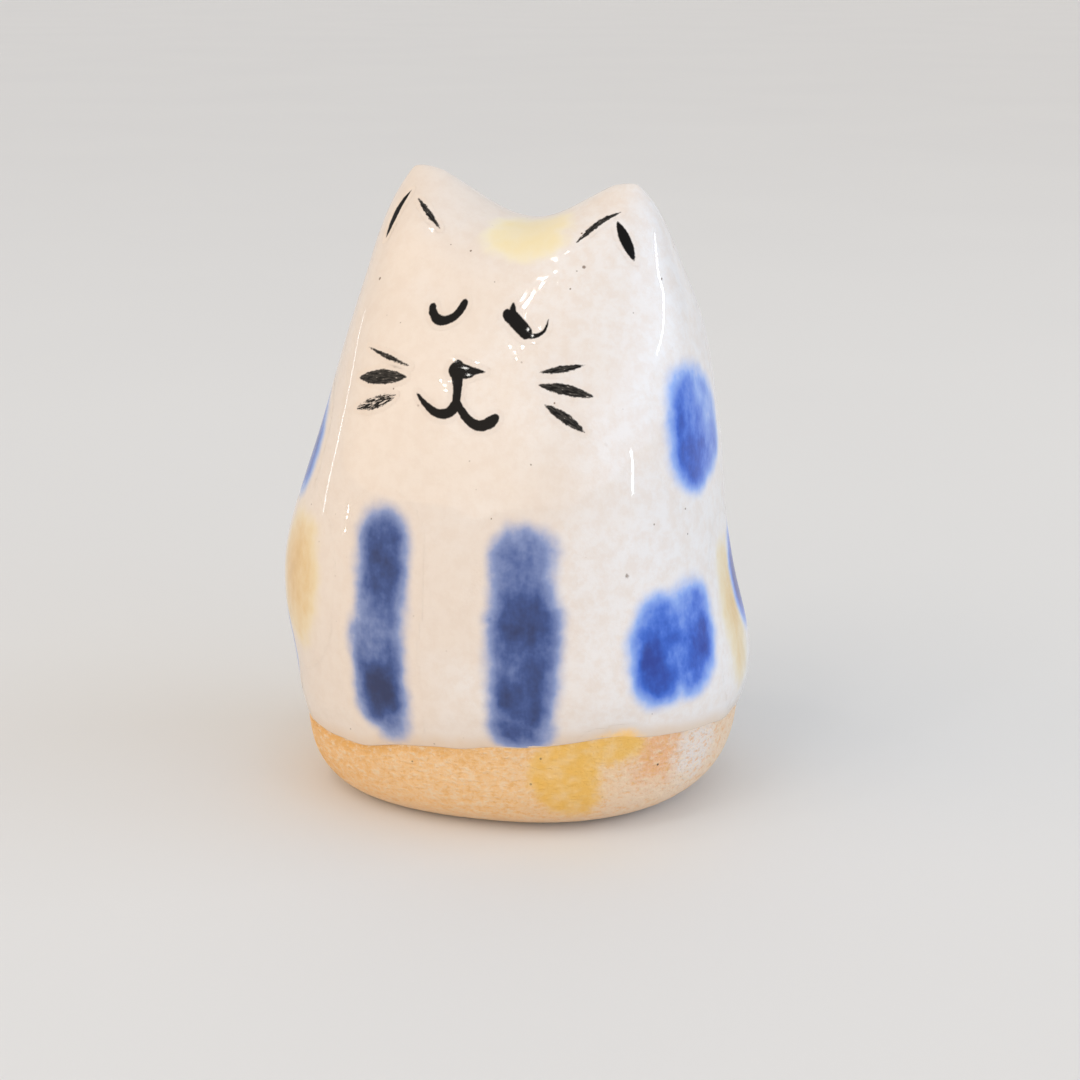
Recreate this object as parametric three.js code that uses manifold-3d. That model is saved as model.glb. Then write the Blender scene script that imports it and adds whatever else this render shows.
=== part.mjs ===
// A hand-pinched ceramic cat, sitting up with its eyes closed. One hollow clay body is dipped in a white
// glaze that stops short of the foot, and the face, stripes, spots and patches are brushed on in colour.
// Millimetres, +Z up, the cat faces -Y and its own left side is +X. The foot stands on z = 0.

import * as THREE from "three";
import { mergeVertices } from "three/addons/utils/BufferGeometryUtils.js";
import Module from "manifold-3d";

// ---------- driving dimensions ----------

const figure = {
  height: 50, // foot to ear tips
  halfWidth: 18.5, // widest half-section, across the haunches
  halfDepth: 15.5, // deepest half-section, at the chest
};
const foot = {
  round: 5, // radius that the body's lower edge is thumbed to
  rimFlat: 2.4, // mean width of the flat ring that the figure stands on
  lean: new THREE.Vector3(-1, -1, 0), // how far the ring's outer edge sits off the body's middle
  lipChamfer: 0.8, // chamfer of the hollow's mouth
};
const hollow = {
  height: 34, // how far the hollow reaches up into the body
  wall: 6, // thickness of the clay round it, above the foot
  bellyHeight: 14, // where the wall has thinned to that from the foot's width
  domeShare: 0.45, // the part of the hollow's height that is dome
};
const glaze = {
  clearance: 0.25, // between the clay and the coat
  thickness: 0.3,
  bareBand: 2.3, // from the foot's rounded edge up to the line where the coat stops
  lineWander: 1.2, // how far that line rises and falls
  lineTurn: THREE.MathUtils.degToRad(49), // where round the figure it is highest
  lipDrop: 0.25, // how far the rolled edge hangs below the line
};
const paint = {
  clearance: 0.15, // between a mark and what it is brushed on
  thickness: 0.15,
  lineStep: 0.7, // spacing of sections along a fine line
  washStep: 1.3, // spacing of sections along a broad wash
};

const lineHeight = foot.round + glaze.bareBand; // mean height of the glaze line above the table
const lineTop = lineHeight + glaze.lineWander;
const lineBottom = lineHeight - glaze.lineWander;

// ---------- colours ----------

const bareClay = new THREE.MeshStandardMaterial({ color: 0xe0b184, roughness: 0.9, metalness: 0 });
const whiteGlaze = new THREE.MeshStandardMaterial({ color: 0xeee2da, roughness: 0.12, metalness: 0 });
const blackLine = new THREE.MeshStandardMaterial({ color: 0x16120f, roughness: 0.2, metalness: 0 });
const blueWash = new THREE.MeshStandardMaterial({ color: 0x4660a6, roughness: 0.18, metalness: 0 });
const yellowWash = new THREE.MeshStandardMaterial({ color: 0xe8cd92, roughness: 0.2, metalness: 0 });
const bareYellow = new THREE.MeshStandardMaterial({ color: 0xd9a54c, roughness: 0.85, metalness: 0 });

// ---------- the body's outer form ----------

// Each station is one level section. up is its height at the middle of the head, as a share of the figure's
// height; right, left, front and back are distances from the axis, as shares of the half width and depth.
// earShare is how much of the ears' rise the section has taken on, and square is its superellipse exponent.
const stations = [
  { up: 0.1, right: 0.93, left: 0.96, front: 0.985, back: 0.9, earShare: 0, square: 2.3 },
  { up: 0.16, right: 0.935, left: 0.98, front: 0.99, back: 0.94, earShare: 0, square: 2.35 },
  { up: 0.23, right: 0.955, left: 0.995, front: 1.0, back: 0.97, earShare: 0, square: 2.35 },
  { up: 0.31, right: 1.0, left: 0.93, front: 0.99, back: 0.96, earShare: 0, square: 2.4 },
  { up: 0.39, right: 0.985, left: 0.885, front: 0.97, back: 0.92, earShare: 0, square: 2.4 },
  { up: 0.47, right: 0.92, left: 0.855, front: 0.94, back: 0.86, earShare: 0, square: 2.45 },
  { up: 0.57, right: 0.815, left: 0.84, front: 0.88, back: 0.79, earShare: 0, square: 2.5 },
  { up: 0.67, right: 0.735, left: 0.805, front: 0.8, back: 0.7, earShare: 0, square: 2.5 },
  { up: 0.77, right: 0.66, left: 0.75, front: 0.62, back: 0.57, earShare: 0, square: 2.6 },
  { up: 0.845, right: 0.6, left: 0.665, front: 0.44, back: 0.43, earShare: 0.12, square: 2.6 },
  { up: 0.88, right: 0.56, left: 0.615, front: 0.33, back: 0.33, earShare: 0.5, square: 2.4 },
  { up: 0.897, right: 0.515, left: 0.56, front: 0.2, back: 0.2, earShare: 0.82, square: 2.2 },
  { up: 0.904, right: 0.43, left: 0.49, front: 0, back: 0, earShare: 1, square: 2.1 },
];

// The ridge between the ears: a smooth saddle through these points, across and rise, where across is a share
// of the half width, and rise is above the middle of the head, as a share of the height.
const ridge = new THREE.SplineCurve([
  new THREE.Vector2(-0.6, 0.03),
  new THREE.Vector2(-0.49, 0.08),
  new THREE.Vector2(-0.39, 0.084),
  new THREE.Vector2(-0.25, 0.055),
  new THREE.Vector2(-0.1, 0.014),
  new THREE.Vector2(0.08, -0.002),
  new THREE.Vector2(0.24, 0.02),
  new THREE.Vector2(0.37, 0.053),
  new THREE.Vector2(0.46, 0.066),
  new THREE.Vector2(0.55, 0.065),
  new THREE.Vector2(0.66, 0.04),
]);

const POSTS = 40; // points round each section
const FOOT_COURSES = 4; // sections round the thumbed lower edge
const BAND_COURSES = 2; // sections on the bare band between the foot and the glaze line
const WALL_COURSES = 14; // sections from the glaze line to the start of the ears
const CROWN_COURSES = 7; // sections from there to the ridge
const HOLLOW_COURSES = 5; // sections up the hollow's wall
const DOME_COURSES = 5; // sections over its dome
const EAR_START = 0.8; // the height share at which the crown's closer sections begin

// Catmull-Rom blend of four values.
function blend4(a, b, c, d, t) {
  const slopeB = (c - a) / 2;
  const slopeC = (d - b) / 2;
  const t2 = t * t;
  const t3 = t2 * t;
  return (2 * t3 - 3 * t2 + 1) * b + (t3 - 2 * t2 + t) * slopeB + (3 * t2 - 2 * t3) * c + (t3 - t2) * slopeC;
}

// The section at a given height share, blended from the stations round it.
function sectionAt(up) {
  const last = stations.length - 1;
  let k = 0;
  while (k < last - 1 && stations[k + 1].up < up) k++;
  const t = THREE.MathUtils.clamp((up - stations[k].up) / (stations[k + 1].up - stations[k].up), 0, 1);
  const four = [Math.max(k - 1, 0), k, k + 1, Math.min(k + 2, last)].map((i) => stations[i]);
  const value = (name) => blend4(...four.map((s) => s[name]), t);
  return {
    up: THREE.MathUtils.lerp(stations[k].up, stations[k + 1].up, t),
    right: value("right"),
    left: value("left"),
    front: value("front"),
    back: value("back"),
    earShare: THREE.MathUtils.clamp(value("earShare"), 0, 1),
    square: value("square"),
  };
}

// Rise of the ridge at an across share, found by halving along the spline, whose across only grows.
function ridgeRise(across) {
  let low = 0;
  let high = 1;
  for (let step = 0; step < 24; step++) {
    const middle = (low + high) / 2;
    if (ridge.getPoint(middle).x < across) low = middle;
    else high = middle;
  }
  return ridge.getPoint(low).y;
}

// A superellipse's point in a direction from its centre, for a given exponent and half-axes of one.
function unitPoint(angle, square) {
  const c = Math.cos(angle);
  const s = Math.sin(angle);
  const reach = (Math.abs(c) ** square + Math.abs(s) ** square) ** (-1 / square);
  return [c * reach, s * reach];
}

// A point of the outer form at an angle about the axis and a height share, drawn in by inset millimetres.
function formPoint(angle, up, inset = 0) {
  const s = sectionAt(up);
  const [across, along] = unitPoint(angle, s.square);
  const reachX = (across > 0 ? s.left : s.right) * figure.halfWidth - inset;
  const reachY = (along > 0 ? s.back : s.front) * figure.halfDepth - inset;
  const x = across * reachX;
  const z = (s.up + s.earShare * ridgeRise(x / figure.halfWidth)) * figure.height;
  return new THREE.Vector3(x, along * reachY, z);
}

const postAngle = (post) => (2 * Math.PI * post) / POSTS;
const easeOut = (t) => Math.sin((t * Math.PI) / 2);

// Height share of the glaze line at an angle: wiped by hand, so it has two highs and two lows.
function lineUp(angle) {
  return (lineHeight + glaze.lineWander * Math.cos(2 * (angle + glaze.lineTurn))) / figure.height;
}

// The courses of the outer form, from the edge of the foot's flat ring up to the ridge.
function skinCourses() {
  const courses = [];
  const footTop = foot.round / figure.height;
  const ridgeUp = stations.at(-1).up;
  for (let k = 0; k <= FOOT_COURSES; k++) {
    const turn = (k / FOOT_COURSES) * (Math.PI / 2);
    const inset = foot.round * (1 - Math.sin(turn));
    const z = foot.round * (1 - Math.cos(turn));
    const lean = 1 - Math.sin(turn);
    courses.push((angle) => formPoint(angle, footTop, inset).addScaledVector(foot.lean, lean).setZ(z));
  }
  for (let k = 1; k <= BAND_COURSES; k++) {
    const t = k / BAND_COURSES;
    courses.push((angle) => formPoint(angle, THREE.MathUtils.lerp(footTop, lineUp(angle), t)));
  }
  for (let k = 1; k <= WALL_COURSES; k++) {
    const t = k / WALL_COURSES;
    courses.push((angle) => formPoint(angle, THREE.MathUtils.lerp(lineUp(angle), EAR_START, t)));
  }
  for (let k = 1; k <= CROWN_COURSES; k++) {
    const up = THREE.MathUtils.lerp(EAR_START, ridgeUp, easeOut(k / CROWN_COURSES));
    courses.push((angle) => formPoint(angle, up));
  }
  return courses.map((course) => Array.from({ length: POSTS }, (_, post) => course(postAngle(post))));
}

// ---------- lofting ----------

// Joins courses of points into triangles. A course may be a single point, which closes the loft as a pole. A
// first or last course may be folded flat on itself along a ridge, where post i meets post POSTS - i.
class Loft {
  constructor() {
    this.points = [];
    this.faces = [];
    this.rows = [];
  }

  addCourse(points, folded = false) {
    const start = this.points.length;
    this.points.push(...points);
    const at = (post) => {
      if (points.length === 1) return start;
      const p = ((post % POSTS) + POSTS) % POSTS;
      return start + (folded ? Math.min(p, POSTS - p) : p);
    };
    const below = this.rows.at(-1);
    if (below) {
      for (let post = 0; post < POSTS; post++) {
        this.addFace(below(post), below(post + 1), at(post + 1));
        this.addFace(below(post), at(post + 1), at(post));
      }
    }
    this.rows.push(at);
  }

  addFace(a, b, c) {
    if (a !== b && b !== c && c !== a) this.faces.push(a, b, c);
  }

  geometry() {
    const made = new THREE.BufferGeometry().setFromPoints(this.points).setIndex(this.faces);
    made.computeVertexNormals();
    return made;
  }
}

// The skin's points and their outward normals, one row for each course.
function skinWithNormals() {
  const courses = skinCourses();
  const loft = new Loft();
  courses.forEach((points, k) => loft.addCourse(points, k === courses.length - 1));
  const normals = loft.geometry().getAttribute("normal");
  return courses.map((points, k) =>
    points.map((point, post) => ({
      point,
      normal: new THREE.Vector3().fromBufferAttribute(normals, loft.rows[k](post)),
    })),
  );
}

const skin = skinWithNormals();
const LINE_COURSE = FOOT_COURSES + BAND_COURSES; // the course that follows the glaze line
const offsetCourse = (row, distance) => row.map((s) => s.point.clone().addScaledVector(s.normal, distance));

// ---------- clay body ----------

// Outline of the hollow at a height above the table, shrunk to a share of itself under the dome. It follows
// the outer form, drawn in by the foot's width at the mouth and by the wall above.
function hollowCourse(z, share = 1) {
  const thinned = THREE.MathUtils.smoothstep(z, 0, hollow.bellyHeight);
  const footInset = foot.round + foot.rimFlat + Math.min(z, foot.lipChamfer);
  const inset = THREE.MathUtils.lerp(footInset, hollow.wall, thinned);
  const up = Math.max(z, foot.round) / figure.height;
  return Array.from({ length: POSTS }, (_, post) => {
    const edge = formPoint(postAngle(post), up, inset);
    return new THREE.Vector3(edge.x * share, edge.y * share, z);
  });
}

function clayBody() {
  const loft = new Loft();
  const domeRise = hollow.height * hollow.domeShare;
  const domeStart = hollow.height - domeRise;
  loft.addCourse([new THREE.Vector3(0, 0, hollow.height)]);
  for (let k = DOME_COURSES - 1; k > 0; k--) {
    const turn = (k / DOME_COURSES) * (Math.PI / 2);
    loft.addCourse(hollowCourse(domeStart + domeRise * Math.sin(turn), Math.cos(turn)));
  }
  for (let k = HOLLOW_COURSES; k >= 0; k--) {
    loft.addCourse(hollowCourse(THREE.MathUtils.lerp(foot.lipChamfer, domeStart, k / HOLLOW_COURSES)));
  }
  loft.addCourse(hollowCourse(0));
  skin.forEach((row, k) => loft.addCourse(offsetCourse(row, 0), k === skin.length - 1));
  return loft.geometry();
}

// ---------- glaze coat ----------

// The coat's outer face from the glaze line to the ridge, as an open loft.
function glazeOuterFace() {
  const loft = new Loft();
  const reach = glaze.clearance + glaze.thickness;
  skin.slice(LINE_COURSE).forEach((row, k, rows) => {
    loft.addCourse(offsetCourse(row, reach), k === rows.length - 1);
  });
  return loft.geometry();
}

// The whole coat: down the inside from the ridge, round the rolled edge at the line, and up the outside.
function glazeCoat() {
  const loft = new Loft();
  const rows = skin.slice(LINE_COURSE);
  const last = rows.length - 1;
  [...rows].reverse().forEach((row, k) => {
    loft.addCourse(offsetCourse(row, glaze.clearance), k === 0);
  });
  const edge = offsetCourse(rows[0], glaze.clearance + glaze.thickness / 2);
  loft.addCourse(edge.map((p) => p.setZ(p.z - glaze.lipDrop)));
  rows.forEach((row, k) => {
    loft.addCourse(offsetCourse(row, glaze.clearance + glaze.thickness), k === last);
  });
  return loft.geometry();
}

// ---------- brushed marks ----------

// A canvas is the flat view in which a mark is drawn before it is laid on the surface. across and up are the
// directions of its axes in space, and towards is the way the brush presses. Points are drawn in shares: of
// the half width across, and of the way from low to high up the canvas.
const DIAGONAL = Math.SQRT1_2;
const coatSpan = { up: [0, 0, 1], low: lineTop, high: figure.height };
const canvases = {
  front: { across: [1, 0, 0], towards: [0, 1, 0], ...coatSpan },
  left: { across: [0, 1, 0], towards: [-1, 0, 0], ...coatSpan },
  leftFlank: { across: [DIAGONAL, DIAGONAL, 0], towards: [-DIAGONAL, DIAGONAL, 0], ...coatSpan },
  rightFlank: { across: [DIAGONAL, -DIAGONAL, 0], towards: [DIAGONAL, DIAGONAL, 0], ...coatSpan },
  brow: {
    across: [1, 0, 0],
    towards: [0, DIAGONAL, -DIAGONAL],
    up: [0, DIAGONAL, DIAGONAL],
    low: 0,
    high: figure.height,
  },
  bareFoot: { across: [1, 0, 0], towards: [0, 1, 0], up: [0, 0, 1], low: 0, high: lineBottom },
};
const FAR = 100; // how far outside the figure a projecting ray starts

// Width of a stroke along its length, as a share of its full width.
const nibs = {
  round: (t) => Math.sqrt(Math.max(1 - (2 * t - 1) ** 4, 0)),
  oval: (t) => Math.sqrt(Math.max(1 - (2 * t - 1) ** 2, 0)),
  pointed: (t) => Math.sin(Math.PI * t) ** 0.8,
  tapering: (t) => Math.sqrt(Math.min(t * 8, 1)) * (1 - t) ** 0.5,
};
const END_SHARE = 0.02; // how far in from each end the first and last full sections lie

// Lays a point of a canvas on a surface and lifts it off by a distance along the surface's normal.
function laidOn(surface, canvas, across, up, distance) {
  const direction = new THREE.Vector3(...canvas.towards);
  const origin = new THREE.Vector3()
    .addScaledVector(new THREE.Vector3(...canvas.across), across)
    .addScaledVector(new THREE.Vector3(...canvas.up), up)
    .addScaledVector(direction, -FAR);
  const [hit] = new THREE.Raycaster(origin, direction).intersectObject(surface);
  if (!hit) throw new Error(`a brushed mark runs off the surface at ${across.toFixed(1)}, ${up.toFixed(1)}`);
  const corners = [hit.face.a, hit.face.b, hit.face.c];
  const places = corners.map((i) => surface.getVertexPosition(i, new THREE.Vector3()));
  const shares = THREE.Triangle.getBarycoord(hit.point, ...places, new THREE.Vector3());
  const normal = new THREE.Vector3();
  corners.forEach((i, k) => {
    const corner = new THREE.Vector3().fromBufferAttribute(surface.geometry.getAttribute("normal"), i);
    normal.addScaledVector(corner, shares.getComponent(k));
  });
  return hit.point.clone().addScaledVector(normal.normalize(), distance);
}

// One stroke as a closed film: a grid of points along and across it, laid on the surface twice, at the film's
// lower and upper face, and closed round its edge.
function strokeGeometry({ canvas, surface, path, width, nib, step }) {
  const points = path.map(([across, up]) =>
    new THREE.Vector2(across * figure.halfWidth, THREE.MathUtils.lerp(canvas.low, canvas.high, up)));
  const line = new THREE.SplineCurve(points);
  const lengths = Math.max(3, Math.round(line.getLength() / step));
  const lanes = Math.max(1, Math.round(width / step));
  const rows = [];
  for (let k = 0; k <= lengths; k++) {
    const t = THREE.MathUtils.lerp(END_SHARE, 1 - END_SHARE, k / lengths);
    const centre = line.getPointAt(t);
    const side = line.getTangentAt(t).rotateAround(new THREE.Vector2(), Math.PI / 2);
    const half = (width / 2) * nibs[nib](t);
    rows.push(Array.from({ length: lanes + 1 }, (_, lane) =>
      centre.clone().addScaledVector(side, half * (1 - (2 * lane) / lanes))));
  }
  const flat = rows.flat();
  const size = lanes + 1;
  const film = [paint.clearance, paint.clearance + paint.thickness].flatMap((distance) =>
    flat.map((p) => laidOn(surface, canvas, p.x, p.y, distance)));
  const top = flat.length;
  const faces = [];
  const quad = (a, b, c, d) => faces.push(a, c, b, a, d, c);
  for (let k = 0; k < lengths; k++) {
    for (let lane = 0; lane < lanes; lane++) {
      const a = k * size + lane;
      quad(a, a + 1, a + 1 + size, a + size);
      quad(top + a, top + a + size, top + a + 1 + size, top + a + 1);
    }
    const first = k * size;
    const final = first + lanes;
    quad(first, first + size, top + first + size, top + first);
    quad(final + size, final, top + final, top + final + size);
  }
  for (let lane = 0; lane < lanes; lane++) {
    const end = lengths * size + lane;
    quad(lane + 1, lane, top + lane, top + lane + 1);
    quad(end, end + 1, top + end + 1, top + end);
  }
  return new THREE.BufferGeometry().setFromPoints(film).setIndex(faces);
}

const wasm = await Module();
wasm.setup();

// A closed geometry as a solid for joining and cutting.
function solidOf(geometry) {
  const bare = geometry.clone();
  bare.deleteAttribute("normal");
  const merged = mergeVertices(bare, 1e-4);
  return new wasm.Manifold(new wasm.Mesh({
    numProp: 3,
    vertProperties: new Float32Array(merged.getAttribute("position").array),
    triVerts: new Uint32Array(merged.index.array),
  }));
}

function geometryOf(solid) {
  const { vertProperties, triVerts } = solid.getMesh();
  return new THREE.BufferGeometry()
    .setAttribute("position", new THREE.BufferAttribute(vertProperties, 3))
    .setIndex(new THREE.BufferAttribute(triVerts, 1));
}

const outerFace = new THREE.Mesh(glazeOuterFace(), whiteGlaze);
const clayGeometry = clayBody();
const bareFace = new THREE.Mesh(clayGeometry, bareClay);

// A stroke of the fine brush, or of the broad one: its width in millimetres, its nib, and its path.
const line = (width, nib, ...path) => ({ path, width, nib, step: paint.lineStep });
const wash = (width, nib, ...path) => ({ path, width, nib, step: paint.washStep });

const face = {
  right_eye: [line(0.7, "oval", [-0.217, 0.763], [-0.165, 0.733], [-0.116, 0.741], [-0.07, 0.767])],
  left_eye: [
    line(1.2, "tapering", [0.11, 0.765], [0.155, 0.745], [0.22, 0.722], [0.25, 0.724], [0.278, 0.745]),
  ],
  nose: [line(1.1, "tapering", [-0.075, 0.672], [0, 0.663], [0.07, 0.646])],
  mouth: [
    line(0.5, "oval", [-0.022, 0.636], [-0.026, 0.59]),
    line(0.6, "oval", [-0.2, 0.61], [-0.135, 0.587], [-0.065, 0.582], [0, 0.601]),
    line(0.7, "oval", [-0.04, 0.602], [0.03, 0.577], [0.074, 0.566], [0.145, 0.581]),
  ],
  right_whisker_1: [line(0.4, "pointed", [-0.484, 0.674], [-0.365, 0.67], [-0.262, 0.658])],
  right_whisker_2: [line(0.85, "pointed", [-0.51, 0.626], [-0.388, 0.631], [-0.283, 0.642])],
  right_whisker_3: [line(0.6, "pointed", [-0.5, 0.575], [-0.406, 0.588], [-0.315, 0.604])],
  left_whisker_1: [line(0.45, "pointed", [0.289, 0.661], [0.374, 0.665], [0.453, 0.672])],
  left_whisker_2: [line(0.7, "pointed", [0.3, 0.641], [0.4, 0.63], [0.499, 0.619])],
  left_whisker_3: [line(0.6, "pointed", [0.326, 0.606], [0.4, 0.588], [0.474, 0.566])],
};
const ears = {
  right_ear_line_1: [line(0.5, "pointed", [-0.442, 0.641], [-0.457, 0.605], [-0.505, 0.573])],
  right_ear_line_2: [line(0.45, "pointed", [-0.38, 0.62], [-0.324, 0.596], [-0.26, 0.571])],
  left_ear_line_1: [line(0.45, "pointed", [0.435, 0.611], [0.4, 0.593], [0.34, 0.561])],
  left_ear_line_2: [line(0.8, "pointed", [0.485, 0.607], [0.525, 0.578], [0.57, 0.55])],
};
const stripes = {
  right_stripe: [
    wash(4.6, "round", [-0.345, 0.412], [-0.325, 0.315], [-0.33, 0.204], [-0.345, 0.068], [-0.355, -0.01]),
  ],
  left_stripe: [wash(5, "round", [0.282, 0.392], [0.28, 0.266], [0.295, 0.139], [0.315, 0.018])],
};
const leftSpots = {
  left_shoulder_spot: [wash(7, "round", [-0.11, 0.65], [-0.14, 0.542], [-0.175, 0.422])],
  left_back_spot: [wash(6, "round", [0.28, 0.289], [0.28, 0.205], [0.285, 0.12])],
};
const leftFlankSpots = {
  left_haunch_spot: [wash(7.6, "round", [0.25, 0.295], [0.235, 0.176], [0.21, 0.054])],
};
const rightFlankSpots = {
  right_shoulder_spot: [wash(6, "round", [-0.35, 0.59], [-0.35, 0.494], [-0.36, 0.422])],
  right_haunch_spot: [wash(6, "round", [-0.49, 0.133], [-0.5, 0.036])],
};
const crownPatch = {
  crown_patch: [wash(2.6, "oval", [-0.08, 0.555], [0.17, 0.556], [0.32, 0.548])],
};
const rightHaunchPatch = {
  right_haunch_patch: [wash(3.6, "round", [-0.2, 0.337], [-0.15, 0.253], [-0.13, 0.157])],
};
const leftHaunchPatch = {
  left_haunch_patch: [wash(2.2, "round", [-0.017, 0.265], [-0.008, 0.157], [-0.05, 0.06])],
};
const footPatch = {
  foot_patch: [wash(2.9, "round", [0.28, 0.7], [0.48, 0.71], [0.65, 0.74])],
};

// Gives each named set of strokes the canvas it is drawn in, its colour and the face that it is laid on.
const painted = (strokesByName, canvas, colour, surface = outerFace) =>
  Object.entries(strokesByName).map(([name, strokes]) => ({ name, strokes, canvas, colour, surface }));

const marks = [
  ...painted(face, canvases.front, blackLine),
  ...painted(ears, canvases.brow, blackLine),
  ...painted(stripes, canvases.front, blueWash),
  ...painted(leftSpots, canvases.left, blueWash),
  ...painted(leftFlankSpots, canvases.leftFlank, blueWash),
  ...painted(rightFlankSpots, canvases.rightFlank, blueWash),
  ...painted(crownPatch, canvases.brow, yellowWash),
  ...painted(rightHaunchPatch, canvases.rightFlank, yellowWash),
  ...painted(leftHaunchPatch, canvases.left, yellowWash),
  ...painted(footPatch, canvases.bareFoot, bareYellow, bareFace),
];

// One mark as a mesh, its strokes joined into one film.
function markMesh({ name, strokes, canvas, colour, surface }) {
  const films = strokes.map((stroke) => solidOf(strokeGeometry({ canvas, surface, ...stroke })));
  const mesh = new THREE.Mesh(geometryOf(wasm.Manifold.union(films)), colour);
  mesh.name = name;
  return mesh;
}

// ---------- assembly ----------

const cat = new THREE.Group();
const body = new THREE.Mesh(clayGeometry, bareClay);
body.name = "clay_body";
const coat = new THREE.Mesh(glazeCoat(), whiteGlaze);
coat.name = "glaze_coat";
cat.add(body, coat);
for (const mark of marks) cat.add(markMesh(mark));

const middle = new THREE.Box3().setFromObject(cat).getCenter(new THREE.Vector3());
cat.position.set(-middle.x, -middle.y, 0);

export default cat;
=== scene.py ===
import logging
import math
from dataclasses import dataclass, field
from enum import Enum

import bpy
import numpy as np
from mathutils import Matrix, Vector, noise
from mathutils.interpolate import poly_3d_calc


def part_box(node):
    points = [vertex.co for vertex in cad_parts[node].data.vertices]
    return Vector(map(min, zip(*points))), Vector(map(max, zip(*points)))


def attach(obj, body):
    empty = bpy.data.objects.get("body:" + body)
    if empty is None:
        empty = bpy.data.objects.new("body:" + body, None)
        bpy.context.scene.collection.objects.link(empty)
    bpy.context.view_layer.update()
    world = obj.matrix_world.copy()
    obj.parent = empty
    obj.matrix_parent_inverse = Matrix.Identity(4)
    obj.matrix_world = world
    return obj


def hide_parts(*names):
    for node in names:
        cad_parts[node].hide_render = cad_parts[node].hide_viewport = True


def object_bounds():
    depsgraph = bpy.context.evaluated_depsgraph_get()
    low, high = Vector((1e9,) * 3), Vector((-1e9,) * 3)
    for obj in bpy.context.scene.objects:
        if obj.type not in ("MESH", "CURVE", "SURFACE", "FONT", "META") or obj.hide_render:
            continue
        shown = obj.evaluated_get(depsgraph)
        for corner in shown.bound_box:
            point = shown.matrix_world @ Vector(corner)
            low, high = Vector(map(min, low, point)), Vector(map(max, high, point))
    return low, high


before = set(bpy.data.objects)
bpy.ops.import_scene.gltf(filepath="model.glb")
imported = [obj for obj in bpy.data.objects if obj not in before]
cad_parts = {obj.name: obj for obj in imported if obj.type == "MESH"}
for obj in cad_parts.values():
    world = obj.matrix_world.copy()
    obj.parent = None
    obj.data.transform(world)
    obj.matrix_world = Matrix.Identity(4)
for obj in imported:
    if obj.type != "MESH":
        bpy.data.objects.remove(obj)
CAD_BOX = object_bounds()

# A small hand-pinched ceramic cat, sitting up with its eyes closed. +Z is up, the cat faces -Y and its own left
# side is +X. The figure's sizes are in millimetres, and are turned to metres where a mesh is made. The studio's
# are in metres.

MM = 0.001
LOG = logging.getLogger("ceramic_cat")
Colour = tuple[float, float, float]
Triple = tuple[float, float, float]
Socket = bpy.types.NodeSocket

# A stroke marks the surface where the surface faces the stroke's canvas by at least this cosine.
FACING_LIMIT = 0.12
# The ink reading of a place that faces away from a mark's canvas.
FAR_OUTSIDE = -50.0


# ---------- the bench: operators used on every piece ----------


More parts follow.
